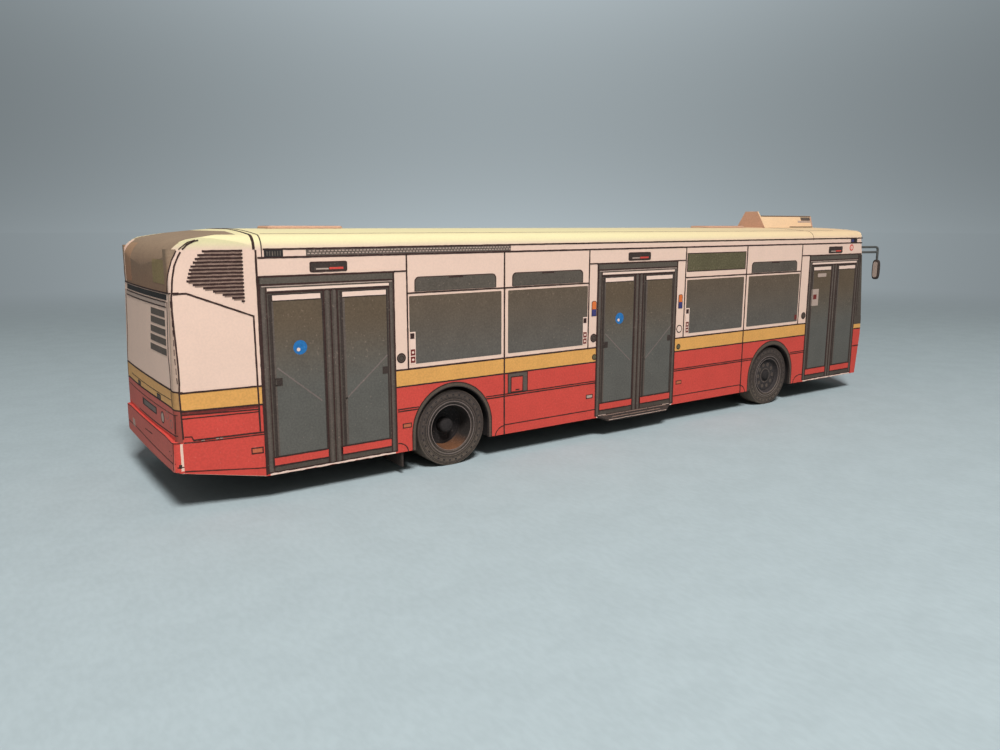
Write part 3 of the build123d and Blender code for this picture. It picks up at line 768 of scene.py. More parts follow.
# red up to its line and out round the arches, yellow up to the belt, then the lines and lips
def printStripes(flank, side):
    lower = [(rearEnd, skirt)]
    for middle in axleAlong.values():
        lower += archLoop(middle, arch["radius"]).tolist()
    lower += [(flankEnd, skirt), (flankEnd, stripes["redTop"]), (rearEnd, stripes["redTop"])]
    flank.shape("red", lower, 1)
    flank.field("yellow", (rearEnd, flankEnd), (stripes["redTop"], belt), 1)
    for run in side["belt"]:
        levels(flank, [run], belt, 0.2, 2)
        levels(flank, [run], stripes["redTop"], 0.18, 2)
    for run in side["skirt"]:
        for high, width in stripes["skirtLines"]:
            levels(flank, [run], high, width, 3)
    for middle in axleAlong.values():
        radius = arch["radius"] + arch["lip"] / 2
        flank.stroke("lip", unlifted(archLoop(middle, radius)), arch["lip"], 2)
        flank.stroke("lip", archLoop(middle, radius), arch["lip"], 3)
        flank.stroke("line", archLoop(middle, radius + arch["lip"] / 2), arch["line"], 4)
        flank.stroke("soot", unlifted(archLoop(middle, arch["radius"] + 0.03)), 0.1, 4)
    for middle in axleAlong.values():
        for way in (-1, 1):                        # the rounded foot of the panel beside each arch
            foot = arc((0, 0), 1.35, np.pi / 2, -np.pi / 2, 7) * (-way, 0.9)
            flank.stroke("line", foot + (middle + way * arch["corner"], skirt - 0.1), 0.12, 3)
    levels(flank, side["hem"], stripes["hem"], 0.12, 3)
    levels(flank, [(rearEnd + 0.2, flankEnd)], stripes["gutterLine"], 0.2, 3)
    flank.line("line", (9.0, 26.75), (flankEnd, 26.72), 0.18, 3)
    flank.field("soot", (9.1, 11.1), (25.95, 26.7), 4)
    for place in np.arange(9.35, 11.0, 0.28):
        flank.field("transom", (place, place + 0.12), (26.08, 26.56), 5)
    flank.field("grey", (13.6, 40.1), (25.98, 26.66), 2)
    for row, high in ((0, 26.16), (1, 26.42)):
        for place in np.arange(13.75 + 0.16 * row, 39.9, 0.42):
            flank.field("pale", (place, place + 0.26), (high, high + 0.13), 4)
    flank.field("soot", (112.95, 114.8), (26.0, 26.6), 4)
    flank.field("indigo", (113.1, 113.8), (26.1, 26.5), 5)


right = Print("rightFlank", flankPlace(-1), bends=flankBends)
printStripes(right, spans["right"])
for number, (start, width) in enumerate(zip(door["starts"], door["widths"])):
    printDoor(right, start, width, number)

uprights(right, (39.15, 85.35), skirt, stripes["gutterLine"], 0.2)          # panel joints
uprights(right, (25.5, 53.0, 71.6, 99.3), belt, stripes["gutterLine"], 0.18)
levels(right, ((23.9, 25.5), (53.0, 54.5), (69.95, 71.6), (99.3, 101.5)), stripes["windowTop"], 0.16)
levels(right, ((25.5, 53.0), (71.6, 99.3)), pane["frameLine"], 0.16)
levels(right, [(115.8, flankEnd)], stripes["windowTop"], 0.16)
right.field("doorFrame", (115.8, flankEnd), (belt - 1.15, 23.9), 3)
levels(right, [(115.9, flankEnd)], 7.55, 0.15)
uprights(right, [116.3], belt + 0.3, 23.9, 0.12)

for left, rightEnd, notch in ((25.75, 38.7, -1), (39.72, 52.8, 1), (72.0, 84.85, -1), (86.0, 99.0, 0)):
    printPane(right, left, rightEnd, notch)
for left, rightEnd, latch in ((26.6, 37.8, 31.1), (40.45, 51.8, 45.0), (86.7, 98.0, 91.4)):
    printTransom(right, left, rightEnd, latch)
right.field("line", (71.85, 85.05), (22.28, 25.02), 2)
right.field("green", (72.0, 84.9), (22.4, 24.9), 3)
right.field("maroon", (98.3, 98.9), (13.5, 14.3), 4)

buttons = ((24.6, 14.04, True), (54.0, 14.0, True), (70.7, 14.0, False), (100.75, 14.0, True))
for along, high, filled in buttons:
    printButton(right, (along, high), filled)
printSticker(right, 53.62, 18.95)
printSticker(right, 70.4, 19.0)
for middle in (54.2, 70.7):
    right.disc("line", (middle, 11.36), 0.42, 3, 20)
    right.disc("green", (middle, 11.36), 0.32, 4, 20)
right.disc("red", (113.3, 25.1), 0.55, 3, 24)
right.disc("white", (113.3, 25.1), 0.34, 4, 24)
right.line("red", (113.3, 24.85), (113.3, 25.35), 0.12, 5)
for place, tint in ((24.6, "amber"), (52.85, "pale"), (70.45, "amber")):
    printMarker(right, place, tint)

# the filler flap: a grey frame, open at its lower side, round a red field
right.bordered("grey", "line", (39.75, 42.8), (8.05, 10.6), 0.12, 3)
right.bordered("red", "line", (40.2, 42.05), (8.15, 10.1), 0.12, 5)
levels(right, [(40.9, 41.5)], 8.4, 0.16, 7)
right.finish()

left = Print("leftFlank", flankPlace(1), bends=flankBends)
printStripes(left, spans["left"])
wide = {"starts": (9.4, 25.4, 41.4, 57.4, 73.4), "length": 14.6, "notches": (-1, 0, 1, 0, -1)}
for start, notch in zip(wide["starts"], wide["notches"]):
    end = start + wide["length"]
    printPane(left, start + 0.5, end - 0.2, notch)
    uprights(left, [end + 0.7], belt, stripes["gutterLine"], 0.18)
    printTransom(left, start + 1.4, end - 1.2, start + 6)
    levels(left, [(start - 0.4, end + 0.7)], pane["frameLine"], 0.16)
left.window("window", (90.2, 99.2), (13.0, 23.4), 0.2, 0.5)
left.window("window", (101.0, 114.4), (12.9, 23.6), 0.2, 0.7)
uprights(left, [107.6], 13.1, 23.4, 0.24)
for place in (24.7, 52.85, 70.45, 100.2):
    printMarker(left, place)
uprights(left, (39.15, 56.7, 72.7, 85.35, 100.2), skirt, belt, 0.16)
for place in (42.0, 59.6, 75.2):
    left.frame("line", (place, place + 10.5), (4.5, 7.3), 0.12, 4)
left.finish()


redFoot = 7.45                     # where the rear's red band stands on the bumper
grille = {
    "pitch": 0.364, "top": 26.66, "right": 6.95, "bar": 0.21,
    "lefts": (2.9, 2.45, 2.2, 2.0, 1.75, 1.6, 1.5, 1.4, 1.3, 1.85, 2.8, 3.7, 4.6, 5.5, 6.4),
}
capEdge = (10.955, 0.119)  # how far across the cap's upright side stands, and how much more for each mm along
for side, hand in hands:
    cheek = Print(hand + "Cheek", flankPlace(side), bends=flankBends)
    cheek.shape("red", [(0.1, 4.34), (rearEnd, 2.89), (rearEnd, redFoot), (0.1, redFoot)], 1)
    for number, leftEnd in enumerate(grille["lefts"]):
        high = grille["top"] - grille["pitch"] * number
        cheek.field("faint", (leftEnd + 0.4, grille["right"] - 0.1), (high - 0.26, high - 0.1), 2)
        cheek.stroke("line", [(leftEnd + 0.22, high), (grille["right"], high)], grille["bar"], 3, wander=0.02)
    for points, width in (
            ([(0.2, 22.52), (1.4, 22.56), (7.72, 20.0), (7.78, 7.85)], 0.17),
            ([(0.15, 12.66), (rearEnd, 12.68)], 0.17), ([(0.15, 10.8), (rearEnd, 10.72)], 0.17),
            ([(0.2, 10.42), (7.7, 10.24)], 0.12), ([(0.2, 10.04), (7.7, 9.98)], 0.1),
            ([(1.12, 7.71), (rearEnd, 7.74)], 0.16), ([(0.22, 7.54), (3.37, 7.47), (rearEnd, 7.5)], 0.1),
            ([(0.31, 8.16), (1.0, 8.12), (1.13, 7.76)], 0.1), ([(0.12, 4.56), (rearEnd, 3.79)], 0.1)):
        cheek.stroke("line", points, width, 4)
    cheek.field("maroon", (0.15, 7.75), (10.4, 10.76), 2)
    for place in (1.9, 3.3, 3.7):
        cheek.field("pale", (place, place + 0.3), (7.57, 7.66), 4)
    cheek.frame("line", (6.8, 7.95), (5.5, 6.1), 0.12, 3)
    cheek.field("amber", (6.9, 7.85), (5.6, 6.0), 4)
    cheek.stroke("line", [(rearEnd + 0.04, 3.0), (rearEnd + 0.04, 26.7)], 0.2, 5)
    cheek.finish()

    # the lines run on over the cap's upright side, which tapers to the rear like the cheek below
    def capPlace(along, high, lift, side=side):
        return np.stack([rearCorner + along, side * (capEdge[0] + capEdge[1] * along + lift), high], -1)

    cap = Print(hand + "CheekCap", capPlace)
    cap.stroke("line", [(1.45, 26.84), (1.9, 27.27), (2.23, 27.46), (2.61, 27.63), (3.0, 27.74)], 0.14, 3)
    cap.stroke("line", [(1.12, 26.84), (1.51, 27.18), (2.05, 27.56), (2.71, 27.74)], 0.1, 3)
    cap.finish()

tail = Print("tail", tailPlace, bends=tailBends)
tailReach = {"corner": 12.2, "faded": 11.25, "seam": 20.2}  # how far round the bands kink, take the painted sheen, and end
bands = {
    "foot": [(-12.2, redFoot), (12.2, redFoot)],
    "split": [(-12.2, 10.8), (-10.6, 11.08), (-9.7, 11.14), (4.2, 11.2), (8.8, 11.14), (10.64, 11.08),
              (12.2, 10.8)],
    "top": [(-12.2, 12.68), (-10.6, 12.95), (-2.7, 13.02), (3.2, 13.02), (10.6, 12.92), (12.2, 12.68)],
}
parts = (("red", "rearRed", bands["foot"], bands["split"]),
         ("yellow", "rearYellow", bands["split"], bands["top"]))


def lowered(points, drop):  # a line of points moved down
    return [(s, high - drop) for s, high in points]


def within(points, reach):  # the part of a level line between -reach and reach
    across, high = np.array(points).T
    kept = np.union1d(across[np.abs(across) < reach], (-reach, reach))
    return np.stack([kept, np.interp(kept, across, high)], -1)


for tint, faded, low, high in parts:
    for ends in ((-tailReach["seam"], -tailReach["corner"]), (tailReach["corner"], tailReach["seam"])):
        tail.field(tint, ends, (low[0][1], high[0][1]), 1)
for tint, faded, low, high in parts:
    tail.band(tint, low, high, 1)
# the middle of the rear face takes the paler copies of red and yellow: a painted sheen
for tint, faded, low, high in parts:
    tail.band(faded, within(low, tailReach["faded"]), within(high, tailReach["faded"]), 2)
for points in (bands["top"], bands["split"]):
    tail.band("line", lowered(points, 0.085), lowered(points, -0.085), 3)
edges = {  # the worn fold of the corner, its ragged inner side, fine lines beside it, the window's border
    "fold": [(12.0, 7.9), (11.94, 10.3), (11.87, 12.6), (11.89, 13.5), (11.79, 15.1), (11.57, 17.3),
             (11.26, 20.2), (11.12, 22.2), (11.18, 22.6), (11.25, 23.9), (11.48, 25.26), (11.88, 26.22),
             (12.1, 26.6)],
    "glass": [(10.3, 22.64), (10.71, 23.9), (11.05, 25.07), (11.27, 25.84), (11.6, 26.5), (11.7, 26.72)],
    "ragged": [(11.72, 13.5), (11.44, 16.4), (11.24, 19.75), (10.98, 22.2)],
    "fine": [(10.2, 21.7), (10.1, 16.3), (10.5, 14.8), (10.9, 11.2)],
    "low": [(11.35, 10.5), (11.3, 8.5)],
}
edges = {name: np.array(points) for name, points in edges.items()}


def upTo(name, high):  # how far round an edge line lies at a height
    return np.interp(high, edges[name][:, 1], edges[name][:, 0])


def patch(tint, way, inner, outer, heights, layer):  # on one side, between two distances round
    tail.field(tint, sorted((way * inner, way * outer)), heights, layer)


for way in (-1, 1):
    for name, width in (("fold", 0.16), ("fine", 0.08), ("low", 0.1), ("glass", 0.11)):
        tail.stroke("line", edges[name] * (way, 1), width, 4, wander=0.01)
    # the fold is painted in shade from the rear face up to the worn line, the window's ink runs on to its
    # border
    for tint, low, high in (("foldRed", 7.6, 10.9), ("foldYellow", 10.95, 12.8), ("foldWhite", 12.8, 22.45)):
        for start in np.arange(low, high, 0.3):
            ends = (start, min(start + 0.3, high))
            patch(tint, way, flankHalf(start) - 1.52, upTo("fold", start), ends, 2.5)
    for start in np.arange(22.66, 26.7, 0.2):
        patch("rearGlass", way, 9.7, upTo("glass", start), (start, start + 0.2), 2)
    patch("red", way, 11.4, 12.6, (4.37, 4.58), 1)
    for start in np.arange(13.6, 22.0, 0.95):
        points = [(way * upTo("ragged", high), high) for high in (start, start + 0.62)]
        tail.stroke("line", points, 0.07, 4)
    tail.line("line", (way * 10.9, 22.58), (way * 11.8, 22.6), 0.16, 4)
tail.line("line", (-7.8, 11.9), (10.7, 11.9), 0.07)
for left, rightEnd in ((-4.08, -2.55), (5.2, 6.73)):
    tail.rounded("soot", (left, rightEnd), (11.2, 11.75), 0.14, 3)
    tail.rounded("grey", (left + 0.16, rightEnd - 0.16), (11.3, 11.62), 0.1, 4)
for number, high in enumerate((20.72, 19.84, 18.86, 17.91, 16.9)):
    share = number / 4
    tail.field("grey", (3.9 - 0.6 * share, 9.2 + 0.35 * share), (high - 0.67, high), 2)
tail.field("soot", (-9.0, 10.0), (21.85, 22.4), 2)
tail.field("pale", (-9.45, 9.75), (21.2, 21.6), 2)
for high, ends, width in ((22.55, (-10.9, 10.9), 0.14), (21.64, (-9.45, 9.75), 0.12),
                          (21.14, (-9.45, 9.75), 0.13), (8.3, (-4.3, 11.55), 0.12),
                          (10.42, (-10.6, 11.6), 0.08)):
    tail.bar("line", ends, high, width)
tail.field("red", (-12.0, 11.2), (7.85, 8.15), 3)
tail.field("doorDark", (-2.05, 4.6), (9.25, 10.05), 3)
tail.field("glint", (-1.2, 4.3), (9.4, 9.9), 4)
tail.disc("pale", (7.0, 9.43), 0.56, 3, 24)
tail.ring("line", (7.0, 9.43), 0.58, 0.12, 4, 32)
for spot in ((8.8, 10.0), (10.15, 9.3)):
    tail.ring("faint", spot, 0.42, 0.1, 3, 24)
tail.finish()

rearGlass = Print("rearWindow", rearWindowPlace, slot="window_print", bends=glassBends)
rearGlass.field("card", (-10.55, -9.6), (22.7, 27.5), 2)
rearGlass.field("rearGlass", (10.5, 11.0), (26.8, 27.5), 1)
rearGlass.field("rearGlassLeft", (-9.5, -5.6), (22.9, 27.2), 1)
rearGlass.field("olive", (5.4, 9.9), (23.4, 25.8), 1)
rearGlass.finish()


# the rear bumper: a folded box round the tail, its sides running into the cheeks' own planes
bumper = {"corner": -0.84, "bow": 0.15, "low": 4.5, "high": 7.9, "over": -0.016, "reach": 13.3, "round": 0.06}
shift = (rearEnd - bumper["corner"]) / (rearEnd - np.interp(6.4, rearHeights, rearLine))
bumperFace = endPlace((bumper["corner"],) * 2, (0, 100), bumper["bow"], shell["taper"] * shift, rearEnd, -1)


def bumperPlace(s, high, lift):  # the box's face, drawn in a hair under the outline
    return bumperFace(s, high, lift + bumper["over"])


reach = np.linspace(-bumper["reach"], bumper["reach"], 161)
same = np.zeros_like(reach)
outer = bumperPlace(reach, same + bumper["low"], same)
inner = tailPlace(reach, same + bumper["low"], same - 0.05)
inner[:, 0] = np.maximum(inner[:, 0], outer[:, 0] + 0.04)
rise = np.interp(np.abs(reach), (8.5, 11.9), (bumper["high"], 7.62)) - bumper["low"]   # less at the corners
section = [(0.0, 0, 0), (1.0, 0, 0), (1.0, 1, -bumper["round"]), (0.75, 1, 0), (0.0, 1, 0)]
rows = [np.column_stack([(inner + (outer - inner) * share)[:, :2], bumper["low"] + rise * up + step])
        for share, up, step in section]
bumperPiece = makePiece("rearBumper", *skin(np.stack(rows, 1)), inks["red"], "body", "body_print", 20)
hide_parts("rear_bumper")

bumperPrint = Print("bumper", bumperPlace, bends=tailBends)
ledge = [(-12.2, 7.56), (-11.9, 7.56), (-8.5, 7.84), (8.5, 7.84), (11.9, 7.56), (12.2, 7.56)]
# the bumper's face takes the paler red up to just under its ledge: a painted sheen
faded = [(-11.35, 7.6), (-8.5, 7.84), (8.5, 7.84), (11.35, 7.6)]
bumperPrint.band("rearRed", [(-11.35, 4.52), (11.35, 4.52)], faded, 1)
bumperPrint.band("line", lowered(ledge, 0.09), ledge, 2)
for points in ([(-11.4, 5.62), (-4.95, 5.77), (5.29, 5.53), (11.45, 5.41)], [(-0.69, 6.67), (2.86, 6.8)],
               [(11.3, 7.5), (11.25, 6.6), (11.07, 4.7)], [(-11.3, 7.5), (-11.07, 4.7)]):
    bumperPrint.stroke("line", points, 0.1, 2)
for place in (-8.0, -7.2):
    bumperPrint.field("pale", (place, place + 0.6), (5.6, 6.5), 2)
for place, high in ((10.0, 6.42), (10.55, 6.1)):
    bumperPrint.field("line", (place, place + 0.22), (high, high + 0.1), 2)
bumperPrint.rounded("line", (11.75, 12.05), (4.9, 5.3), 0.08, 2)
bumperPrint.field("line", (11.6, 12.4), (4.96, 5.06), 2)
bumperPrint.finish()


noseEnd, noseCorner = 14.1, 13.2   # how far round the nose's print ends, and is drawn out from


# the nose's print, its last stretch behind the corner drawn out or in to the line where the side's begins
def nosePrintPlace(s, high, lift):
    over = nosePlace(np.full_like(high, noseEnd), high, 0.0)[..., 0] - rearCorner - flankEnd
    share = np.clip((np.abs(s) - noseCorner) / (noseEnd - noseCorner), 0, None)
    return nosePlace(s + np.sign(s) * share * over, high, lift)


nose = Print("nose", nosePrintPlace, bends=noseBends)
noseRed, noseTop = 10.66 + shell["rise"], belt + shell["rise"]
for tint, reach, low, high, layer in (
        ("red", noseEnd, skirt + 0.02, noseRed, 1), ("yellow", noseEnd, noseRed, noseTop, 1),
        ("doorFrame", noseEnd, belt + 0.5, header + 0.1, 2), ("transom", 13.0, belt + 0.8, header - 0.15, 3),
        ("soot", 11.6, header + 0.25, gutter - 0.35, 2)):
    nose.field(tint, (-reach, reach), (low, high), layer)
for ends in ((-10.6, 6.4), (7.2, 10.9)):
    nose.field("transom", ends, (header + 0.55, gutter - 0.65), 3)
for high in (noseTop, noseRed, 7.85):
    nose.bar("line", (-noseEnd, noseEnd), high, 0.18)
nose.field("doorFrame", (11.9, noseEnd), (belt - 0.85, belt + 0.6), 4)
nose.field("line", (-0.12, 0.12), (belt + 0.6, header - 0.15), 3)
for side in (-1, 1):
    pair = sorted((side * 7.4, side * 11.2))
    nose.window("lens", pair, (6.0, 7.6), 0.14, 0.5)
    for place in (side * 8.4, side * 10.2):
        nose.ring("grey", (place, 6.8), 0.46, 0.1, 4, 20)
    nose.rounded("orange", sorted((side * 11.4, side * 12.0)), (6.2, 7.4), 0.1, 3)
    nose.rounded("soot", sorted((side * 7.6, side * 9.4)), (3.7, 4.6), 0.3, 3)
    nose.stroke("line", [(side * 10.2, belt + 0.9), (side * 6.0, 14.6), (side * 1.2, 15.2)], 0.16, 4)
nose.field("soot", (-6.6, 6.6), (9.0, 10.2), 2)
nose.field("line", (-3.2, 3.2), (4.0, 5.2), 2)
nose.field("pale", (-3.05, 3.05), (4.12, 5.08), 3)
for high in (9.3, 9.6, 9.9):
    nose.bar("grey", (-6.4, 6.4), high, 0.1)
nose.finish()


top = Print("roof", roofPlace, slot="roof_card", bends=roofBends)
reachDown = shoulderReach + 0.1
top.field("line", (rearEnd - 0.1, rearEnd + 0.18), (-reachDown, reachDown), 3)
top.field("line", (8.98, 9.1), (-reachDown - 0.8, reachDown + 0.8), 3)
for across in ((10.05, 10.13), (-10.13, -10.05)):
    top.field("faint", (9.6, 111.0), across, 2)
top.field("faint", (capSeam - 0.05, capSeam + 0.05), (-reachDown, reachDown), 2)
top.finish()

for name, node in (("rearHatch", "rear_roof_hatch"), ("frontHatch", "front_roof_hatch")):
    low, high = corners(node)

    def lidPlace(along, across, lift, level=high[2]):  # flat on the lid
        return np.stack([along, across, level - 0.02 + lift], -1)

    lid = Print(name, lidPlace, slot="roof_card")
    sides = [(low[axis], high[axis]) for axis in (0, 1)]
    lid.rounded("roof", *(inset(ends, 0.16) for ends in sides), 0.5, 2)
    lid.frame("faint", *(inset(ends, 0.5) for ends in sides), 0.1, 3, 0.4)
    lid.finish()

rear, front = (corner[0] for corner in corners("roof_cooler"))
cooler = {"edge": crown - 0.15, "base": 3.15, "top": crown + 2.1, "rearHalf": 1.75, "frontHalf": 2.5,
          "endHalf": 1.3, "end": crown + 2.8}
rise = cooler["top"] - cooler["edge"]


def coolerSide(side):  # up runs to 1 on the sloping side, which opens out towards the front
    def place(along, up, lift):
        share = np.clip((along - rear) / (front - rear), 0, 1)
        lean = cooler["base"] - cooler["rearHalf"] - (cooler["frontHalf"] - cooler["rearHalf"]) * share
        length = np.hypot(lean, rise)
        across = cooler["base"] - lean * up + lift * rise / length
        return np.stack([along, side * across, cooler["edge"] + rise * up + lift * lean / length], -1)
    return place


coolerBends = (np.arange(rear + 1, front, 1.0), None)
for side, hand in hands:
    panel = Print("cooler" + hand.capitalize(), coolerSide(side), slot="roof_card", bends=coolerBends)
    for tint, start, end, up in (
            ("lip", rear + 0.3, front - 0.1, (0.92, 0.99)), ("grey", front - 3.0, front - 0.4, (0.62, 0.88)),
            ("pale", front - 4.0, front - 0.3, (0.46, 0.6)), ("tan", front - 0.35, front - 0.03, (0.1, 0.9)),
            # the dark strip low on the side, from the middle forwards: a painted shadow of the gap under the
            # unit
            ("lip", rear + 7.0, front - 0.1, (0.08, 0.15))):
        panel.field(tint, (start, end), up, 2)
    panel.finish()


def coolerEnd(at, way):  # a plane across the bus, facing the front (1) or the rear (-1)
    def place(u, v, lift):
        return np.stack([at + way * lift, way * u, v], -1)
    return place


# the rear plate is white card drawn tan: painted shade, with a reddish tint
rearPlate = Print("coolerRearPlate", coolerEnd(rear, -1), slot="roof_card")
foot = (cooler["base"] - 0.02, cooler["edge"] + 0.02)
head = (cooler["endHalf"], cooler["end"] - 0.02)
rearPlate.shape("tan", [(-foot[0], foot[1]), foot, head, (-head[0], head[1])], 1)
rearPlate.finish()
frontFace = Print("coolerFront", coolerEnd(front, 1), slot="roof_card")
frontFace.rounded("grey", (-2.1, 2.1), (cooler["edge"] + 0.9, cooler["top"] - 0.4), 0.3, 1)
for high in (29.9, 30.2):
    frontFace.line("line", (-1.9, high), (1.9, high), 0.08, 2)
frontFace.finish()


wheels = {
    # the rear rims carry a painted highlight low in the barrel
    "rear": {"width": 6.0, "dish": 2.2, "cap": 0.92, "capIn": 1.02, "ink": "rust"},
    "front": {"width": 2.75, "dish": 0.55, "cap": 0.8, "capIn": 0.2, "ink": "tyreDark"},
}
tyreRadius, rimRadius, tyreFace = 4.749, 2.95, 12.1
sidewallRings = ((3.1, 0.08, "soot"), (3.28, 0.06, "rimLight"), (3.42, 0.07, "tyreDark"), (3.7, 0.07, "soot"),
                 (3.86, 0.05, "tyreDark"), (4.34, 0.06, "tyreDark"), (4.5, 0.05, "soot"))


def faceOf(middle, side, depth):  # a wheel's flat face, u and v along and up from the axle
    def place(u, v, lift):
        return np.stack([middle[0] + u, side * (tyreFace - depth + lift), middle[1] + v], -1)
    return place


def around(radius, step):  # places round the wheel, one after each step of degrees
    turns = np.radians(np.arange(0, 360, step))
    return [(radius * math.cos(turn), radius * math.sin(turn)) for turn in turns]


for end, made in wheels.items():
    middle = (axleAlong[end] + rearCorner, axleHigh)
    body = end + "_axle"
    for side, hand in hands:
        def onWheel(part, depth, slot, side=side, hand=hand):  # a print on the wheel's face, so far in
            return Print(end + hand.capitalize() + part, faceOf(middle, side, depth), body, slot)

        # a part of the wheel, its cross-section's (radius, across) turned about the axle
        def ringPiece(part, section, tint, slot, ring=turned, side=side, hand=hand):
            section = [(radius, side * across) for radius, across in section]
            name = end + hand.capitalize() + part
            return makePiece(name, *ring(section, middle), inks[tint], body, slot, 40)

        back = tyreFace - made["width"]
        tyre = ringPiece("Tyre", [
            (rimRadius, back), (tyreRadius - 0.2, back), (tyreRadius, back + 0.2),
            (tyreRadius, tyreFace - 0.14), (tyreRadius - 0.03, tyreFace - 0.06),
            (tyreRadius - 0.08, tyreFace - 0.02), (tyreRadius - 0.16, tyreFace), (rimRadius + 0.22, tyreFace),
            (rimRadius + 0.06, tyreFace - 0.03), (rimRadius, tyreFace - 0.12)], "tyre", "tyre_print")
        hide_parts(f"{hand}_{end}_tyre")
        deep = tyreFace - made["dish"]
        lipRadius = rimRadius - 0.02
        rim = ringPiece("Rim", [
            (lipRadius, back + 0.25), (lipRadius, tyreFace - 0.1), (lipRadius - 0.05, tyreFace - 0.04),
            (lipRadius - 0.14, tyreFace - 0.06), (lipRadius - 0.2, tyreFace - 0.2),
            (lipRadius - 0.3, deep + 0.12), (lipRadius - 0.42, deep), (0.62, deep), (0.62, deep - 0.5),
            (lipRadius - 0.25, deep - 0.5), (lipRadius - 0.25, back + 0.25)], made["ink"], "wheel_print")
        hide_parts(f"{hand}_{end}_rim")

        marks = onWheel("Sidewall", 0.0, "tyre_print")
        for radius, width, tint in sidewallRings:
            marks.ring(tint, (0, 0), radius, width, 2, 72)
        for start in np.radians(np.arange(0, 360, 12)):       # short dashes between the rings
            spread = np.radians(4.0)
            points = [(r * math.cos(a), r * math.sin(a)) for r, a in (
                (4.0, start), (4.2, start), (4.2, start + spread), (4.0, start + spread))]
            marks.shape("tyreDark", points, 2)
        marks.finish()

        disc = onWheel("Disc", made["dish"], "wheel_print")
        if end == "rear":
            disc.disc("soot", (0, 0), 2.5, 1, 48)
            for radius, width in ((2.2, 0.06), (1.45, 0.1), (1.05, 0.12), (0.72, 0.08)):
                disc.ring("tyreDark", (0, 0), radius, width, 2, 40)
            disc.ring("grey", (0, 0), 0.45, 0.1, 2, 40)
            for spot in around(1.75, 36):
                disc.disc("tyreDark", spot, 0.14, 2, 10)
        else:
            disc.disc("tyreDark", (0, 0), 2.5, 1, 48)
            disc.ring("soot", (0, 0), 2.42, 0.12, 2, 40)
            for spot in around(1.82, 36):
                disc.disc("grey", spot, 0.3, 2, 16)
                disc.disc("tyre", spot, 0.2, 3, 12)
            disc.ring("grey", (0, 0), 1.12, 0.12, 2, 32)
            disc.disc("soot", (0, 0), 0.95, 2, 32)
            disc.ring("tyre", (0, 0), 0.62, 0.12, 3, 24)
        disc.finish()
        radius, out = made["cap"], tyreFace - made["capIn"]
        ringPiece("Hub", [
            (0.61, deep - 0.4), (radius, deep - 0.4), (radius, out - 0.3), (radius - 0.1, out - 0.12),
            (radius - 0.25, out - 0.04), (0.45, out), (0.0, out + 0.02), (0.0, out - 0.06),
            (0.61, out - 0.1)], "soot", "wheel_print", lathed)
        lip = onWheel("Lip", 0.06, "wheel_print")
        lip.ring("rimLight", (0, 0), lipRadius - 0.08, 0.07, 2, 72)
        lip.finish()
print("wheels made")


mirror = {
    "power": 3.4, "points": 40,       # how square its oval is
    "stations": ((-0.94, 0.8), (-0.86, 0.92), (-0.6, 0.99), (-0.1, 1.0), (0.4, 0.98), (0.8, 0.86),
                 (1.0, 0.62)),        # its size from the rear face to the front one
    "glass": -0.94,
}
for side, hand in hands:
    low, high = corners(f"{hand}_mirror")
    centre, half = (low + high) / 2, (high - low) / 2
    # a rounded upright pad: a squarish oval, narrowed towards its front and rear faces
    angle = np.linspace(0, 2 * np.pi, mirror["points"], endpoint=False)
    power = 2 / mirror["power"]
    oval = np.stack([np.sign(np.cos(angle)) * np.abs(np.cos(angle)) ** power,
                     np.sign(np.sin(angle)) * np.abs(np.sin(angle)) ** power], -1)
    rings = [centre + half * np.column_stack([np.full(len(angle), out), oval * (size, (1 + size) / 2)])
             for out, size in mirror["stations"]]
    head = makePiece(hand + "Mirror", *skin(rings), inks["doorDark"], "body", "mirror_card", 50)
    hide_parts(f"{hand}_mirror")

    # flat on the pad's rear face, u and v across and up from its middle
    def glassPlace(u, v, lift, rear=centre[0] + mirror["glass"] * half[0], middle=centre):
        return np.stack([rear - lift, middle[1] + u, middle[2] + v], -1)

    glass = Print(hand + "MirrorGlass", glassPlace, slot="mirror_card")
    glass.rounded("pale", (-0.42, 0.42), (-1.38, 1.38), 0.36, 1)
    glass.finish()

rampLow, rampHigh = corners("middle_door_ramp")
rampTilt = math.radians(50)


def rampPlace(along, down, lift):  # down runs from the ramp's hinge edge
    across = -beltHalf - down * math.sin(rampTilt) - lift * math.cos(rampTilt)
    high = rampHigh[2] - down * math.cos(rampTilt) + lift * math.sin(rampTilt)
    return np.stack([along, across, high], -1)


rampPrint = Print("ramp", rampPlace, slot="body_print")
rampMiddle, rampHalf = (rampLow[0] + rampHigh[0]) / 2, (rampHigh[0] - rampLow[0]) / 2
hinge, tip = rampHalf - 0.1, rampHalf - 1.85          # half its length at the hinge and at the tip
outline = [(-hinge, 0.02), (hinge, 0.02), (tip, 1.13), (-tip, 1.13)]
rampPrint.shape("doorDark", [(rampMiddle + reach, down) for reach, down in outline], 1)
for row, down in enumerate((0.2, 0.42, 0.64, 0.86)):
    for start, end in ((-6.2, -2.1), (-1.9, 2.4), (2.6, 6.2)):
        ends = [rampMiddle + place * (1 - 0.12 * row) for place in (start, end)]
        rampPrint.field(("faint", "soot")[row % 2], ends, (down, down + 0.08), 2)
rampPrint.line("pale", (rampLow[0] + 1.85, 1.1), (rampHigh[0] - 1.85, 1.1), 0.07, 3)
for place in (rampLow[0] + 0.5, rampHigh[0] - 1.9):
    rampPrint.field("pale", (place, place + 1.4), (0.05, 0.14), 3)
rampPrint.finish()


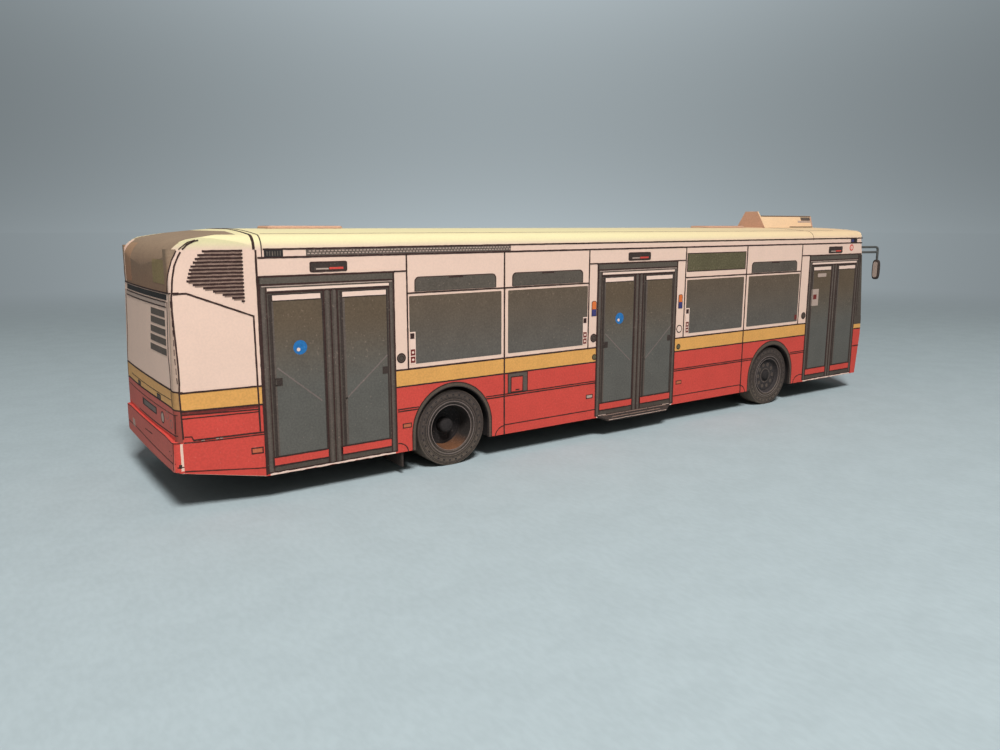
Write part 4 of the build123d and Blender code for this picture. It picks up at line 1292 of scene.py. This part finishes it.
for side, hand in hands:
    for end in axles:
        loop = archLoop(axleAlong[end], arch["radius"])
        reach = reachAlong(loop)
        tangent = np.gradient(loop, axis=0)
        inward = np.stack([tangent[:, 1], -tangent[:, 0]], -1)
        inward /= np.linalg.norm(inward, axis=1, keepdims=True)

        # inside the arch: s runs along its loop, depth in from the side, lift towards its middle
        def liningPlace(s, depth, lift, loop=loop, reach=reach, inward=inward, side=side):
            along, high = (np.interp(s, reach, loop[:, axis]) + np.interp(s, reach, inward[:, axis]) * lift
                           for axis in (0, 1))
            return np.stack([rearCorner + along, side * (beltHalf - depth), high], -1)

        lining = Print(f"{hand}{end.capitalize()}ArchEdge", liningPlace, bends=(reach, None))
        lining.field("doorDark", (0, reach[-1]), (-0.03, 0.27), 1)
        lining.finish()


nodeInks = {
    "card": ("right_side", "left_side", "right_rear_cheek", "left_rear_cheek", "rear_panel", "front_panel",
             "destination_box", "windscreen"),
    "roof": ("roof", "front_roof", "rear_roof"),
    "cooler": ("roof_cooler",),
    "tan": ("rear_roof_hatch", "front_roof_hatch"),
    "rearGlass": ("rear_window",),
    "soot": [f"{hand}_{end}_wheel_well" for _, hand in hands for end in axles],
    "under": ("tail_floor", "rear_floor", "middle_floor", "front_floor"),
    "doorDark": ("middle_door_ramp", "right_mud_flap", "left_mud_flap"),
    "wire": ("right_mirror_arm", "left_mirror_arm"),
    "steel": ("rear_axle", "front_axle"),
}
for tint, names in nodeInks.items():
    for name in names:
        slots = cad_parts[name].data.materials
        slots.clear()
        slots.append(inks[tint])
print("nodes finished")


def shade(colour, share):  # a colour made lighter or darker
    return (*(min(part * share, 1) for part in colour[:3]), 1.0)


studio = {
    "floor": ink(177, 190, 193), "size": 6.0, "fade": (0.14, 0.32),
    "paper": (0.91, 1.045, 1.11, 1.0),        # the backdrop's tint
    "glow": 0.438, "dim": 0.58, "spread": 0.8, "bands": (-3.3, 13.2, 0.3),
    "facing": math.radians(34.9), "lit": (-0.079, -0.095),
    "world": 0.16,
}


# the backdrop's colour: brightest straight ahead, dimmer to both sides, its height a shallow valley
def backdropColour(made, direction, up):
    ahead = (math.cos(studio["facing"]), -math.sin(studio["facing"]), 0)
    sideways = made.vector("DOT_PRODUCT", direction, ahead, output="Value")
    valley = up * studio["bands"][0] + up * up * studio["bands"][1] + 1
    dim = sideways.maths("ABSOLUTE", sideways).step(0, studio["spread"]) * -studio["dim"] + 1
    return made.tinted(studio["paper"], valley * dim * studio["glow"])


def seenOnly(made):  # 1 for what the camera sees, straight or in gloss and glass
    rays = [made.node("ShaderNodeLightPath", {}, {}, name) for name in (
        "Is Camera Ray", "Is Glossy Ray", "Is Transmission Ray")]
    return rays[0] + rays[1] + rays[2]


floorFinish = Finish("floorPaper", roughness=0.95, specular=0.1)
place = floorFinish.place()
distance = floorFinish.vector("LENGTH", place, output="Value")
far = distance.step(*studio["fade"])
mottle = floorFinish.noise(5.0, 4.0).step(0.35, 0.65)
tone = floorFinish.mix(mottle, shade(studio["floor"], 0.975), shade(studio["floor"], 1.015))
fibres = floorFinish.noise(0.5, 3.0, (1.0, 0.45, 1.0)).step(0.3, 0.7) * 0.05 + 0.975
floorFinish.wear("Base Color", floorFinish.tinted(tone, fibres))
away = floorFinish.vector("NORMALIZE", floorFinish.vector("SUBTRACT", place, (*studio["lit"], 0)))
flat = distance * 0
glow = floorFinish.node("ShaderNodeEmission", {}, {"Color": backdropColour(floorFinish, away, flat)})
surface = Signal(floorFinish, floorFinish.shader.outputs[0])
both = floorFinish.node("ShaderNodeMixShader", {}, {0: far * seenOnly(floorFinish), 1: surface, 2: glow})
floorFinish.give(floorFinish.tree.nodes["Material Output"].inputs["Surface"], both)

half = studio["size"] / 2
floorMesh = bpy.data.meshes.new("floor")
ends = ((-half, -half), (half, -half), (half, half), (-half, half))
floorMesh.from_pydata([(x, y, 0) for x, y in ends], [], [(0, 1, 2, 3)])
floorMesh.materials.append(floorFinish.material)
placed("floor", floorMesh)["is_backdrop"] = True

world = bpy.data.worlds.new("studio")
scene.world = world
world.use_nodes = True
sky = Shading(world.node_tree)
direction = sky.node("ShaderNodeTexCoord", {}, {}, "Generated")
up = sky.node("ShaderNodeSeparateXYZ", {}, {0: direction}, 2)
up = up.maths("MINIMUM", up, studio["bands"][2])
shown = sky.node("ShaderNodeBackground", {}, {"Color": backdropColour(sky, direction, up)})
lighting = sky.node("ShaderNodeBackground", {}, {"Color": (1, 1, 1, 1), "Strength": studio["world"]})
mixed = sky.node("ShaderNodeMixShader", {}, {0: seenOnly(sky), 1: lighting, 2: shown})
sky.give(sky.tree.nodes["World Output"].inputs["Surface"], mixed)

lamp = {"from": (-0.106, -0.225, 0.328), "size": 0.1, "power": 1.58}
data = bpy.data.lights.new("key", "AREA")
data.size = lamp["size"]
data.energy = lamp["power"]
light = placed("key", data)
light.location = lamp["from"]
towards = -np.array(lamp["from"])
tilt = math.acos(-towards[2] / np.linalg.norm(towards))
light.rotation_euler = (tilt, 0, math.atan2(towards[1], towards[0]) - math.pi / 2)

eye = {"at": (-79.0015, -94.774, 29.299), "azimuth": -34.883, "elevation": 10.539, "roll": 0.078,
       "lens": 29.142}
camera = bpy.data.cameras.new("camera")
camera.lens = eye["lens"]
camera.sensor_width = 36.0
camera.clip_start = 0.002
camera.clip_end = 50.0
view = placed("camera", camera)
turns = zip((eye["azimuth"], 90 - eye["elevation"], eye["roll"]), "ZXZ")
aim, pitch, roll = (Matrix.Rotation(math.radians(angle), 4, axis) for angle, axis in turns)
view.matrix_world = Matrix.Translation([place * mm for place in eye["at"]]) @ aim @ pitch @ roll
scene.camera = view
scene.view_settings.view_transform = "Standard"
print("studio made")

low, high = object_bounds()
